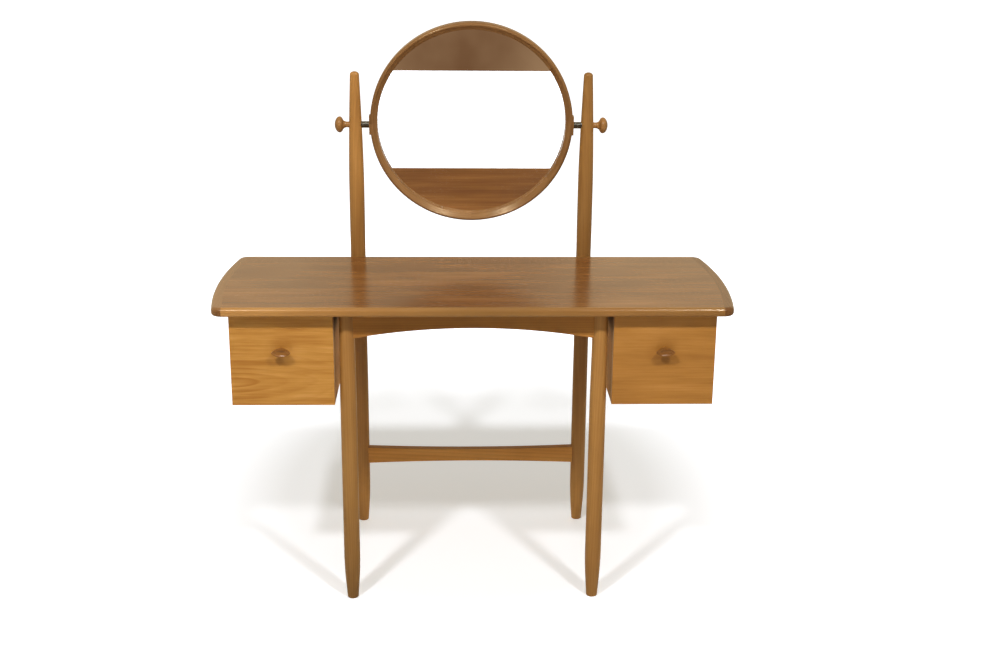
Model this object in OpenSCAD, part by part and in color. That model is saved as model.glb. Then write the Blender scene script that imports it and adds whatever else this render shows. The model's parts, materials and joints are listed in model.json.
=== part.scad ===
// Dressing table: a long low top on four turned legs, two hanging drawers and a tilting round mirror.
// Millimetres, +Z up, +X to the right, +Y to the back. The origin is on the floor under the middle.

/* [Top] */
// Length of the top at its widest, across the middle of the bowed ends
top_len = 1174; // [1120:2:1240]
// Depth of the top, front edge to back edge
top_depth = 459; // [430:1:490]
// Thickness of the top
top_t = 20; // [18:0.5:26]
// Height of the top's upper face above the floor
top_h = 720; // [700:5:760]
// How far each end bows out beyond its corners
end_bow = 20; // [10:1:30]
// Width of the end lippings, which is also the radius of the corners in plan
end_lip_w = 24; // [20:1:34]
// Width of the front and back lippings
long_lip_w = 11; // [10:0.5:16]
// Radius of the edge's upper rounding
edge_round_top = 9; // [4:0.5:9.5]
// Radius of the edge's lower rounding
edge_round_low = 6; // [3:0.5:8]

/* [Legs] */
// Distance of the leg axes from the middle
leg_x = 280.5; // [270:0.5:284]
// Distance of the front leg axes behind the top's front edge
front_leg_setback = 53.5; // [50:0.5:60]
// Largest radius of the front legs
front_leg_r = 18.5; // [17:0.1:20]
// Radius of the front legs where the rails meet them
front_leg_top_r = 17.4; // [16:0.1:20]
// Radius of the rear legs, from the lower taper up past the top
rear_leg_r = 18.5; // [17:0.1:20]
// Radius of each foot where it meets the floor
foot_r = 12.8; // [10:0.1:15]
// Height over which a foot tapers in
foot_taper_h = 115; // [60:5:150]
// Rounding of the foot's lower rim
foot_round = 2; // [1:0.5:3]

/* [Posts] */
// Height of the post tops above the floor
post_h = 1170; // [1150:2:1220]
// Height at which the posts start to taper
post_taper_z = 900; // [860:5:940]
// Radius of the posts at their rounded tips
post_tip_r = 10.8; // [9:0.1:13]

/* [Aprons and rails] */
// Height of the aprons at the legs
apron_end_h = 64; // [56:1:80]
// Height of the aprons in the middle of their arch
apron_mid_h = 38; // [30:1:50]
// Thickness of the aprons and side rails
rail_t = 20; // [16:0.5:24]
// Height of the side rails
side_rail_h = 60; // [50:1:80]
// Height of the stretcher's centre line above the floor
stretcher_z = 184; // [150:2:260]
// Height of the stretcher at the legs
stretcher_end_h = 44; // [36:1:54]
// Height of the stretcher in the middle
stretcher_mid_h = 32; // [22:1:34]
// Thickness of the stretcher
stretcher_t = 20; // [16:0.5:24]
// Thickness of the tenons
tenon_t = 9; // [6:0.5:10]
// Shoulder above and below each tenon
tenon_shoulder = 7; // [4:0.5:10]
// Distance from the leg axis at which the tenons stop
tenon_stop = 5.6; // [5.4:0.1:8]
// Length of the corner blocks along each rail
block_leg = 46; // [36:1:56]
// Height of the corner blocks
block_h = 26; // [20:1:34]

/* [Drawer cases] */
// Distance of the cases' inner walls from the leg axes
case_from_leg = 28.1; // [27:0.1:36]
// Distance of the cases' outer walls from the ends of the top
case_inset = 51; // [44:0.5:64]
// Height of the cases below the top
case_h = 212; // [180:1:240]
// Depth of the cases behind the drawer fronts
case_depth = 374; // [340:2:380]
// Thickness of the case walls
case_wall = 12; // [10:0.5:15]
// Thickness of the case backs
case_back_t = 8; // [6:0.5:12]
// Height of the runners
runner_h = 10; // [8:0.5:14]
// Height of the runners' centre lines above the case bottoms
runner_rise = 104; // [80:1:130]
// Setback of the runners behind the cases' front edges
runner_setback = 26; // [16:1:60]

/* [Drawers] */
// Setback of the drawer fronts behind the top's front edge
front_setback = 28; // [24:0.5:32]
// Thickness of the drawer fronts
front_t = 18; // [16:0.5:22]
// Rounding of the drawer fronts' upright edges
front_round = 1.5; // [0.5:0.5:3]
// Thickness of the drawer sides
side_t = 12; // [10:0.5:13]
// Height of the drawer sides
side_h = 176; // [150:1:184]
// Free space behind a closed drawer
drawer_rear_gap = 16.8; // [8:0.2:40]
// Thickness of the drawer backs
drawer_back_t = 10; // [8:0.5:12]
// Thickness of the drawer bottoms
bottom_t = 5; // [4:0.5:6]
// Depth of the grooves that hold the bottoms
bottom_groove = 5; // [3:0.5:6]
// Rise of the bottoms above the lower edges of the sides
bottom_rise = 8; // [6:0.5:12]
// Depth that a runner reaches into its groove
runner_reach = 5; // [4:0.25:6]

/* [Pulls] */
// Width of a pull's lens-shaped face
pull_w = 41.5; // [36:0.5:50]
// Height of a pull's face in the middle
pull_h = 18.6; // [16:0.2:24]
// Distance that a pull stands out from its front
pull_out = 21; // [18:0.5:26]
// Radius of a pull's neck
pull_neck_r = 6.5; // [5.5:0.1:8]
// Thickness of the rim behind a pull's face
pull_rim = 3.2; // [2:0.1:5]
// Depth of the scoop that is carved into a pull's face
pull_dish = 2.8; // [1.6:0.1:4]
// Width of the face left at each end of the scoop
pull_end_rim = 5.6; // [4:0.2:8]
// Width of the face left above and below the scoop
pull_edge_rim = 2.4; // [1.6:0.2:3.6]
// Height of a pull's centre above the lower edge of its front
pull_rise = 128; // [100:1:150]

/* [Mirror] */
// Distance of the pivots below the posts' tips
pivot_drop = 127.5; // [80:0.5:135]
// Height of the ring's centre above the pivots
ring_rise = 4; // [0:0.5:8]
// Outer radius of the ring
ring_r = 245.2; // [236:0.2:246]
// Width of the ring's face
ring_w = 17.6; // [16:0.2:22]
// Depth of the ring, front to back
ring_depth = 28; // [23:0.5:30]
// Rounding of the ring's front edges
ring_front_round = 7.5; // [4:0.5:8]
// Rounding of the ring's outer back edge
ring_back_round = 4; // [2:0.5:6]
// Width of the rebate that takes the glass
rebate_w = 6; // [4:0.5:9]
// Thickness of the glass
glass_t = 4; // [3:0.5:5]
// Thickness of the backing disc
backing_t = 4; // [3:0.5:5]
// Forward tilt of the mirror at rest, in degrees
mirror_tilt = 6.4; // [0:0.2:12]
// Height of the flat bosses at the pivots
boss_h = 46; // [36:1:54]
// How far the bosses stand out beyond the ring
boss_out = 2.2; // [1.4:0.2:5]

/* [Pivots] */
// Radius of the steel studs
stud_r = 4; // [3:0.25:5]
// Length of a stud inside the ring
stud_in = 14; // [10:0.5:16]
// Outer radius of the spacer tubes
spacer_r = 8; // [6.5:0.25:9]
// Radius of the seats cut into the posts
seat_r = 8.6; // [8:0.1:10]
// Depth of the seats, measured from the post's widest line
seat_depth = 2.8; // [2.6:0.1:4]
// Radius of a knob's head
knob_r = 19.5; // [16:0.5:24]
// Thickness of a knob's head
knob_head = 22.5; // [18:0.5:26]
// Length of a knob's neck from the seat to the head
knob_neck = 14.5; // [12:0.5:20]
// Radius of a knob's neck at its narrowest
knob_neck_r = 6.6; // [6:0.1:8]
// Radius of a knob's foot, which sits in the post's seat
knob_foot_r = 8.2; // [7.6:0.1:9]

/* [Screws] */
// Radius of the screws that hold the top and the cases
screw_r = 2; // [1.5:0.25:2.5]
// Radius of their heads
screw_head_r = 4; // [3.5:0.25:5]
// Depth that they reach into the top
screw_bite = 12; // [8:0.5:14]
// Radius of the pulls' screws
pull_screw_r = 2; // [1.5:0.25:2.5]
// Number of brass clips that hold the mirror's backing, each with a screw
clips_n = 8; // [4:1:16]
// Width of a clip
clip_w = 10; // [8:0.5:14]
// Thickness of a clip
clip_t = 1.2; // [0.8:0.1:2]
// How far a clip reaches over the backing
clip_reach = 7; // [5:0.5:10]
// Radius of the clips' screws
small_screw_r = 1.5; // [1:0.1:1.6]
// Length of the clips' screws below their heads
small_screw_len = 12; // [8:0.5:14]

/* [Clearances] */
// Gap round each tenon
tenon_gap = 0.1; // [0.05:0.05:0.3]
// Gap round each screw in its hole
screw_gap = 0.05; // [0.02:0.01:0.1]
// Running gap of a stud in its post
stud_gap = 0.06; // [0.02:0.01:0.1]
// Gap between parts that move past each other face to face
slide_gap = 0.3; // [0.2:0.05:0.5]
// Gap between each drawer side and its case wall
drawer_side_gap = 1; // [0.6:0.1:1.5]
// Gap between a drawer front and the top, and between it and its case
front_gap = 0.8; // [0.5:0.1:1.2]
// Gap below the drawer sides, above the case bottoms
drawer_lift = 1.8; // [1:0.1:3]
// Gap round the glass and the backing in the rebate
glass_gap = 0.5; // [0.3:0.1:1]

/* [Hidden] */

// Smoothness: points along turned outlines, round small outlines, and faces of plain, large and flat arcs
steps = 12;
nose_steps = 7;
small_steps = 3;
$fn = 96;
ring_faces = 360;
arch_faces = 1080;
// Overlap of cutting tools past the faces that they open
cut = 1;

// Shape factors: where the front legs start to slim, and how far below the apron they have slimmed
leg_slim_share = 0.68;
leg_slim_below = 14;
// How full the posts' tips are, and how late their taper bends in
tip_fullness = 0.7;
taper_bend = 1.5;
// Where the screw stands in a corner block, and how thick the screw heads are for their radius
block_screw_share = 0.36;
head_share = 0.6;
// How late a pull flares out, how far its screw enters, and how far its cutters reach past its blank
pull_bend = 2.6;
pull_screw_share = 0.55;
pull_tip = 1;
// Knob: how far up the head is widest, and the angle of the head's outline at which the neck runs into it
knob_low_share = 0.45;
knob_start_angle = -55;
knob_foot_bend = 3;
knob_under_bend = 4;
// Wall of a knob's bush, and its length for the head's thickness
bush_wall = 1.4;
bush_share = 0.55;

// Colours of the finishes
teak = [0.66, 0.45, 0.27];
teak_dark = [0.52, 0.33, 0.19];
oak_light = [0.74, 0.56, 0.36];
steel_dark = [0.18, 0.19, 0.19];
steel = [0.6, 0.6, 0.58];
brass = [0.72, 0.58, 0.3];
silvered = [0.85, 0.88, 0.88];
board = [0.45, 0.33, 0.22];

// The axis of the rear legs, tangent to the back edge of the top
post_behind = top_depth + rear_leg_r;
// The back and front of the ring, and the lowest back point of the tilted ring
ring_back = ring_depth / 2;
mirror_reach = post_behind + (ring_r - ring_rise - ring_back_round) * sin(mirror_tilt)
    + (ring_back - ring_back_round) * cos(mirror_tilt) + ring_back_round;
// The middle of the whole depth lies at y = 0
front_y = -mirror_reach / 2;
back_edge_y = front_y + top_depth;
top_mid_y = front_y + top_depth / 2;
front_leg_y = front_y + front_leg_setback;
post_y = front_y + post_behind;
top_under = top_h - top_t;

// Plan of the bowed ends: a large arc, met by a corner arc of the lipping's width
bow_r = (pow(top_depth / 2, 2) + pow(end_bow, 2)) / (2 * end_bow);
bow_x = top_len / 2 - bow_r;
corner_x = bow_x + sqrt(pow(bow_r - end_lip_w, 2) - pow(top_depth / 2 - end_lip_w, 2));
bow_angle = atan2(top_depth / 2 - end_lip_w, corner_x - bow_x);
bow_steps_list = [for (i = [-steps:steps]) bow_angle * i / steps];

// Cases and drawers, seen on the right-hand side
case_in_x = leg_x + case_from_leg;
case_w = top_len / 2 - case_inset - case_in_x;
runner_len = case_depth - case_back_t - runner_setback;
side_len = case_depth + front_gap - case_back_t - drawer_rear_gap;
case_out_x = case_in_x + case_w;
case_mid_x = case_in_x + case_w / 2;
case_low = top_under - case_h;
front_face_y = front_y + front_setback;
front_back_y = front_face_y + front_t;
case_front_y = front_back_y + front_gap;
case_back_y = case_front_y + case_depth;
drawer_out_w = case_w - 2 * case_wall - 2 * drawer_side_gap;
drawer_side_low = case_low + case_wall + drawer_lift;
runner_z = case_low + runner_rise;
runner_w = drawer_side_gap + runner_reach;
tongue = front_t / 3;
drawer_back_y = front_back_y + side_len;

// Pivots: everything is placed from the posts' tips and axes and from the ring's boss
pivot_z = post_h - pivot_drop;
post_pivot_r = post_radius(pivot_z);
seat_x = post_pivot_r - seat_depth;
boss_x = ring_r + boss_out;
spacer_end_x = leg_x - seat_x - slide_gap;
knob_foot_x = leg_x + seat_x + slide_gap;
knob_head_x = knob_foot_x + knob_neck;
bush_r = knob_neck_r + bush_wall;
bush_len = knob_head * bush_share;
stud_end_x = knob_head_x + bush_len;
rebate_r = ring_r - ring_w + rebate_w;
rebate_depth = glass_t + backing_t + slide_gap;
glass_r = rebate_r - glass_gap;
clip_out_r = ring_r - ring_back_round;
small_head_r = 2 * small_screw_r;

// Radius of a foot at height z, a quarter sine that ends upright
function foot_radius(z, full_r) =
    foot_r + (full_r - foot_r) * sin(90 * min(z, foot_taper_h) / foot_taper_h);
// Radius of a post at height z
function post_radius(z) = z <= post_taper_z ? rear_leg_r
    : rear_leg_r - (rear_leg_r - post_tip_r) * pow((z - post_taper_z) / (post_h - post_taper_z), taper_bend);
// Smooth step from 0 to 1
function ease(t) = t * t * (3 - 2 * t);

// Radius of an arc from its chord and its height
function arc_radius(chord, height) = (pow(chord / 2, 2) + pow(height, 2)) / (2 * height);

// Shared outlines

// Section of the top's edge: inner joint at x = 0, nose at x = w
module edge_section(w) {
    intersection() {
        square([w, top_t]);
        union() {
            square([w - edge_round_top, top_t]);
            square([w - edge_round_low, top_t - edge_round_top]);
            translate([0, edge_round_low]) square([w, top_t - edge_round_top - edge_round_low]);
            translate([w - edge_round_top, top_t - edge_round_top]) circle(edge_round_top);
            translate([w - edge_round_low, edge_round_low]) circle(edge_round_low);
        }
    }
}

// Half section of the foot up to the height where its taper ends
function foot_points(full_r) = concat(
    [[0, 0], [foot_r - foot_round, 0]],
    [for (i = [1:small_steps]) let (a = 90 * i / small_steps)
        [foot_radius(foot_round, full_r) - foot_round * (1 - sin(a)), foot_round * (1 - cos(a))]],
    [for (i = [1:steps]) let (z = foot_round + (foot_taper_h - foot_round) * i / steps)
        [foot_radius(z, full_r), z]]
);

module leg_front_blank() {
    swell_z = top_h * leg_slim_share;
    neck_z = top_under - apron_end_h - leg_slim_below;
    points = concat(
        foot_points(front_leg_r),
        [for (i = [0:steps]) let (t = i / steps)
            [front_leg_r - (front_leg_r - front_leg_top_r) * ease(t), swell_z + (neck_z - swell_z) * t]],
        [[front_leg_top_r, top_under], [0, top_under]]
    );
    rotate_extrude() polygon(points);
}

module leg_rear_blank() {
    tip_z = post_h - post_tip_r * tip_fullness;
    points = concat(
        foot_points(rear_leg_r),
        [for (i = [0:2 * steps]) let (z = post_taper_z + (tip_z - post_taper_z) * i / (2 * steps))
            [post_radius(z), z]],
        [for (i = [1:steps / 2]) let (a = 180 * i / steps)
            [post_radius(tip_z) * cos(a), tip_z + (post_h - tip_z) * sin(a)]]
    );
    rotate_extrude() polygon(points);
}

// A tenon or its mortise, lying along +X from x = 0, centred on z
module tenon_bar(length, height, gap) {
    translate([0, -tenon_t / 2 - gap, -height / 2 - gap])
        cube([length, tenon_t + 2 * gap, height + 2 * gap]);
}

// Mortise in a leg, for a rail that lies in the given direction from it
module mortise(direction, z, height, shift = 0) {
    translate([0, shift, z]) rotate([0, 0, direction])
        translate([tenon_stop - tenon_gap, 0, 0]) tenon_bar(front_leg_r + rear_leg_r, height, tenon_gap);
}

apron_tenon_h = apron_end_h - 2 * tenon_shoulder;
apron_z = top_under - apron_end_h / 2;
// The rear apron stands forward in its legs, with its face just behind the top's back edge
scribe_step = 0.5;
rear_apron_shift = rail_t / 2 - rear_leg_r + scribe_step;
side_tenon_h = side_rail_h - 2 * tenon_shoulder;
side_rail_z = top_under - side_rail_h / 2;
stretcher_tenon_h = stretcher_end_h - 2 * tenon_shoulder;

// Piece with a lower edge that arches up, from -half to half along X
module arched_board(half, end_h, mid_h, t) {
    rise = end_h - mid_h;
    arch_r = (pow(half, 2) + pow(rise, 2)) / (2 * rise);
    translate([0, t / 2, -end_h]) rotate([90, 0, 0]) linear_extrude(t) difference() {
        translate([-half, 0]) square([2 * half, end_h]);
        translate([0, rise - arch_r]) circle(arch_r, $fn = arch_faces);
    }
}

// Apron between two legs: scribed to the round legs, clear of the side rails and tenoned into the legs
module apron(leg_r, shift) {
    difference() {
        translate([0, shift, top_under]) arched_board(leg_x, apron_end_h, apron_mid_h, rail_t);
        for (side = [-1, 1]) translate([side * leg_x, 0, case_low]) {
            cylinder(r = leg_r, h = case_h + cut);
            translate([-rail_t / 2, -leg_r, 0]) cube([rail_t, leg_r, case_h + cut]);
        }
    }
    for (side = [-1, 1]) translate([side * leg_x, shift, apron_z]) rotate([0, 0, side > 0 ? 180 : 0])
        translate([tenon_stop, 0, 0]) tenon_bar(leg_r, apron_tenon_h, 0);
}

// Turned legs

module front_leg(side) {
    color(teak) translate([side * leg_x, front_leg_y, 0]) difference() {
        leg_front_blank();
        mortise(side > 0 ? 180 : 0, apron_z, apron_tenon_h);
        mortise(90, side_rail_z, side_tenon_h);
    }
}

module rear_leg(side) {
    color(teak) translate([side * leg_x, post_y, 0]) difference() {
        leg_rear_blank();
        mortise(side > 0 ? 180 : 0, apron_z, apron_tenon_h, rear_apron_shift);
        mortise(-90, side_rail_z, side_tenon_h);
        mortise(side > 0 ? 180 : 0, stretcher_z, stretcher_tenon_h);
        translate([0, 0, pivot_z]) rotate([0, 90, 0]) {
            cylinder(r = stud_r + stud_gap, h = 4 * rear_leg_r, center = true);
            for (face = [-1, 1]) rotate([0, face > 0 ? 0 : 180, 0])
                translate([0, 0, seat_x]) cylinder(r = seat_r, h = rear_leg_r);
        }
    }
}

module front_leg_left() front_leg(-1);
module front_leg_right() front_leg(1);
module rear_leg_left() rear_leg(-1);
module rear_leg_right() rear_leg(1);

// Rails

module front_apron() color(teak_dark) translate([0, front_leg_y, 0]) apron(front_leg_top_r, 0);
module rear_apron() color(teak_dark) translate([0, post_y, 0]) apron(rear_leg_r, rear_apron_shift);

module side_rail(side) {
    span = post_y - front_leg_y;
    color(teak_dark) translate([side * leg_x, front_leg_y, 0]) {
        difference() {
            translate([-rail_t / 2, 0, top_under - side_rail_h]) cube([rail_t, span, side_rail_h]);
            translate([0, 0, case_low]) cylinder(r = front_leg_top_r, h = case_h + cut);
            translate([0, span, case_low]) cylinder(r = rear_leg_r, h = case_h + cut);
        }
        translate([0, 0, side_rail_z]) rotate([0, 0, 90])
            translate([tenon_stop, 0, 0]) tenon_bar(rear_leg_r, side_tenon_h, 0);
        translate([0, span, side_rail_z]) rotate([0, 0, -90])
            translate([tenon_stop, 0, 0]) tenon_bar(rear_leg_r, side_tenon_h, 0);
    }
}

module side_rail_left() side_rail(-1);
module side_rail_right() side_rail(1);

// Low stretcher, drawn in above and below towards its middle along a flat arc
module rear_stretcher() {
    rise = (stretcher_end_h - stretcher_mid_h) / 2;
    waist = [for (i = [-steps:steps]) let (t = i / steps)
        [t * leg_x, stretcher_mid_h / 2 + rise * pow(t, 2)]];
    color(teak) translate([0, post_y, stretcher_z]) {
        difference() {
            translate([0, stretcher_t / 2, 0]) rotate([90, 0, 0]) linear_extrude(stretcher_t)
                polygon(concat(waist, [for (i = [2 * steps:-1:0]) [waist[i][0], -waist[i][1]]]));
            for (side = [-1, 1]) translate([side * leg_x, 0, -stretcher_end_h])
                cylinder(r = rear_leg_r, h = 2 * stretcher_end_h);
        }
        for (side = [-1, 1]) translate([side * leg_x, 0, 0]) rotate([0, 0, side > 0 ? 180 : 0])
            translate([tenon_stop, 0, 0]) tenon_bar(rear_leg_r, stretcher_tenon_h, 0);
    }
}

// Corner blocks sit in the angles of the frame, just inside the legs
block_x = leg_x - rail_t / 2;
front_block_y = front_leg_y + rail_t / 2;
rear_block_y = back_edge_y;
block_screw = block_leg * block_screw_share;

module at_corners() {
    for (side = [-1, 1]) {
        translate([side * block_x, front_block_y, top_under]) mirror([side > 0 ? 1 : 0, 0, 0]) children();
        translate([side * block_x, rear_block_y, top_under]) mirror([side > 0 ? 1 : 0, 0, 0])
            mirror([0, 1, 0]) children();
    }
}

module corner_blocks() {
    color(oak_light) difference() {
        at_corners() translate([0, 0, -block_h]) linear_extrude(block_h)
            polygon([[0, 0], [block_leg, 0], [0, block_leg]]);
        for (side = [-1, 1], y = [front_leg_y, post_y]) translate([side * leg_x, y, top_under - 2 * block_h])
            cylinder(r = rear_leg_r + tenon_gap, h = 3 * block_h);
        at_corners() translate([block_screw, block_screw, -2 * block_h])
            cylinder(r = screw_r + screw_gap, h = 3 * block_h);
    }
}

module wood_screw(shank_r, head_r, length, grip) {
    translate([0, 0, -grip]) cylinder(r = shank_r, h = length + grip);
    translate([0, 0, -grip - head_r * head_share]) cylinder(r = head_r, h = head_r * head_share);
}

module top_screws() {
    color(steel) at_corners() translate([block_screw, block_screw, 0])
        wood_screw(screw_r, screw_head_r, screw_bite, block_h);
}

// Top

module top_screw_holes() {
    at_corners() translate([block_screw, block_screw, -cut])
        cylinder(r = screw_r + screw_gap, h = screw_bite + cut + screw_gap);
    at_case_screws() translate([0, 0, -cut])
        cylinder(r = screw_r + screw_gap, h = screw_bite + cut + screw_gap);
}

module top_panel() {
    long_half = top_depth / 2 - long_lip_w;
    inner_r = bow_r - end_lip_w;
    right_end = concat([[corner_x, -long_half]],
        [for (a = bow_steps_list) [bow_x + inner_r * cos(a), inner_r * sin(a)]],
        [[corner_x, long_half]]);
    color(teak) difference() {
        translate([0, top_mid_y, top_under]) linear_extrude(top_t)
            polygon(concat(right_end,
                [for (i = [len(right_end) - 1:-1:0]) [-right_end[i][0], right_end[i][1]]]));
        top_screw_holes();
    }
}

module long_lipping() {
    translate([-corner_x, 0, 0]) rotate([90, 0, 90]) linear_extrude(2 * corner_x) edge_section(long_lip_w);
}

module top_lipping_front() {
    color(teak) translate([0, front_y + long_lip_w, top_under]) mirror([0, 1, 0]) long_lipping();
}

module top_lipping_back() {
    color(teak) translate([0, back_edge_y - long_lip_w, top_under]) long_lipping();
}

// The section of an end lipping as points, from its inner lower edge round the nose
nose = concat(
    [[0, 0]],
    [for (i = [0:nose_steps]) let (a = 90 * i / nose_steps - 90)
        [end_lip_w - edge_round_low * (1 - cos(a)), edge_round_low * (1 + sin(a))]],
    [for (i = [0:nose_steps]) let (a = 90 * i / nose_steps)
        [end_lip_w - edge_round_top * (1 - cos(a)), top_t - edge_round_top * (1 - sin(a))]],
    [[0, top_t]]
);

// Stations along an end lipping: centre x and y, inner radius and direction of each section
corner_y = top_depth / 2 - end_lip_w;
stations = concat(
    [for (i = [0:steps]) [corner_x, -corner_y, 0, -90 + (90 - bow_angle) * i / steps]],
    [for (a = bow_steps_list) if (abs(a) < bow_angle) [bow_x, 0, bow_r - end_lip_w, a]],
    [for (i = [0:steps]) [corner_x, corner_y, 0, bow_angle + (90 - bow_angle) * i / steps]]
);

// One closed sweep of the section: a corner, the bowed end and the other corner
module end_lipping() {
    n = len(nose);
    last = len(stations) - 1;
    points = [for (s = stations, p = nose)
        [s[0] + (s[2] + p[0]) * cos(s[3]), s[1] + (s[2] + p[0]) * sin(s[3]), p[1]]];
    skin = [for (k = [0:last - 1], j = [0:n - 2])
        [k * n + j, k * n + j + 1, (k + 1) * n + j + 1, (k + 1) * n + j]];
    // The inner wall exists only along the bow, because each corner turns about its own inner edge
    wall = [for (k = [steps:last - steps - 1]) [k * n + n - 1, k * n, (k + 1) * n, (k + 1) * n + n - 1]];
    caps = [[for (j = [n - 1:-1:0]) j], [for (j = [0:n - 1]) last * n + j]];
    translate([0, top_mid_y, top_under]) polyhedron(points, concat(skin, wall, caps), convexity = 6);
}

module top_lipping_right() color(teak) end_lipping();
module top_lipping_left() color(teak) mirror([1, 0, 0]) end_lipping();

// Drawer cases, drawn on the right and mirrored to the left

module on_side(side) mirror([side < 0 ? 1 : 0, 0, 0]) children();

module case_outer_wall() {
    translate([case_out_x - case_wall, case_front_y, case_low]) cube([case_wall, case_depth, case_h]);
}

module case_inner_wall() {
    translate([case_in_x, case_front_y, case_low]) cube([case_wall, case_depth, case_h]);
}

module case_back() {
    translate([case_in_x + case_wall, case_back_y - case_back_t, case_low + case_wall])
        cube([case_w - 2 * case_wall, case_back_t, case_h - 2 * case_wall]);
}

module case_bottom() {
    translate([case_in_x + case_wall, case_front_y, case_low])
        cube([case_w - 2 * case_wall, case_depth, case_wall]);
}

module case_top_board() {
    difference() {
        translate([case_in_x + case_wall, case_front_y, top_under - case_wall])
            cube([case_w - 2 * case_wall, case_depth, case_wall]);
        at_case_screws() translate([0, 0, -2 * case_wall])
            cylinder(r = screw_r + screw_gap, h = 3 * case_wall);
        at_case_screws() translate([0, 0, -case_wall - cut])
            cylinder(r = screw_head_r + screw_gap, h = case_head_sink + cut);
    }
}

// Screws through the case top boards, with their heads sunk clear of the drawers
case_head_sink = screw_head_r * head_share + 1;
case_screw_inset = 40;

module at_case_screws() {
    for (side = [-1, 1], x = [-1, 1], y = [case_front_y + case_screw_inset, case_back_y - case_screw_inset])
        translate([side * (case_mid_x + x * (case_w / 2 - case_wall - case_screw_inset)), y, top_under])
            children();
}

module case_screws() {
    color(steel) at_case_screws() wood_screw(screw_r, screw_head_r, screw_bite, case_wall - case_head_sink);
}

// Runners fixed to the case walls, which the drawer sides' grooves slide on
module drawer_runners() {
    for (x = [case_in_x + case_wall, case_out_x - case_wall - runner_w])
        translate([x, case_back_y - case_back_t - runner_len, runner_z - runner_h / 2])
            cube([runner_w, runner_len, runner_h]);
}

module case_left_outer_wall() color(teak) on_side(-1) case_outer_wall();
module case_left_inner_wall() color(teak) on_side(-1) case_inner_wall();
module case_left_back() color(teak) on_side(-1) case_back();
module case_left_bottom() color(teak) on_side(-1) case_bottom();
module case_left_top_board() color(oak_light) on_side(-1) case_top_board();
module drawer_runners_left() color(oak_light) on_side(-1) drawer_runners();
module case_right_outer_wall() color(teak) on_side(1) case_outer_wall();
module case_right_inner_wall() color(teak) on_side(1) case_inner_wall();
module case_right_back() color(teak) on_side(1) case_back();
module case_right_bottom() color(teak) on_side(1) case_bottom();
module case_right_top_board() color(oak_light) on_side(1) case_top_board();
module drawer_runners_right() color(oak_light) on_side(1) drawer_runners();

// Drawers

drawer_low_x = case_mid_x - drawer_out_w / 2;
drawer_high_x = case_mid_x + drawer_out_w / 2;
bottom_low = drawer_side_low + bottom_rise;
inner_w = drawer_out_w - 2 * side_t;
front_low = case_low;
front_h = case_h - front_gap;
pull_z = front_low + pull_rise;

// A drawer side, with its inner face towards +X and its outer face at x = 0
module drawer_side_board() {
    difference() {
        translate([0, front_back_y - tongue, drawer_side_low]) cube([side_t, side_len + tongue, side_h]);
        // Only a tongue of half the thickness enters the front
        translate([-cut, front_back_y - tongue - cut, drawer_side_low - cut])
            cube([side_t / 2 + cut, tongue + cut, side_h + 2 * cut]);
        // Groove for the runner, open at the back
        translate([-cut, case_back_y - case_back_t - runner_len - 2 * slide_gap,
            runner_z - runner_h / 2 - slide_gap])
            cube([runner_reach + slide_gap + cut, runner_len + side_len, runner_h + 2 * slide_gap]);
        // Groove for the bottom
        translate([side_t - bottom_groove, front_back_y - 2 * tongue, bottom_low])
            cube([bottom_groove + cut, side_len + 3 * tongue, bottom_t]);
    }
}

module drawer_inner_side() translate([drawer_low_x, 0, 0]) drawer_side_board();
module drawer_outer_side() translate([drawer_high_x, 0, 0]) mirror([1, 0, 0]) drawer_side_board();

module drawer_back() {
    translate([drawer_low_x + side_t, drawer_back_y - drawer_back_t, bottom_low + bottom_t])
        cube([inner_w, drawer_back_t, side_h - bottom_rise - bottom_t]);
}

module drawer_bottom() {
    translate([drawer_low_x + side_t - bottom_groove + tenon_gap, front_back_y - bottom_groove + tenon_gap,
        bottom_low])
        cube([inner_w + 2 * bottom_groove - 2 * tenon_gap,
            side_len + bottom_groove - tenon_gap, bottom_t]);
}

module drawer_front() {
    difference() {
        translate([case_in_x, front_face_y, front_low]) {
            translate([0, front_round, 0]) cube([case_w, front_t - front_round, front_h]);
            translate([front_round, 0, 0]) cube([case_w - 2 * front_round, front_t, front_h]);
            for (x = [front_round, case_w - front_round])
                translate([x, front_round, 0]) cylinder(r = front_round, h = front_h);
        }
        // Grooves for the tongues of the sides
        for (x = [drawer_low_x + side_t / 2, drawer_high_x - side_t])
            translate([x - tenon_gap, front_back_y - tongue - tenon_gap, drawer_side_low - tenon_gap])
                cube([side_t / 2 + 2 * tenon_gap, tongue + cut, side_h + 2 * tenon_gap]);
        // Groove for the bottom
        translate([drawer_low_x + side_t / 2, front_back_y - bottom_groove, bottom_low])
            cube([drawer_out_w - side_t, bottom_groove + cut, bottom_t]);
        // Hole for the pull's screw
        translate([case_mid_x, front_back_y + cut, pull_z]) rotate([90, 0, 0])
            cylinder(r = pull_screw_r + screw_gap, h = front_t + 2 * cut);
    }
}

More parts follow.
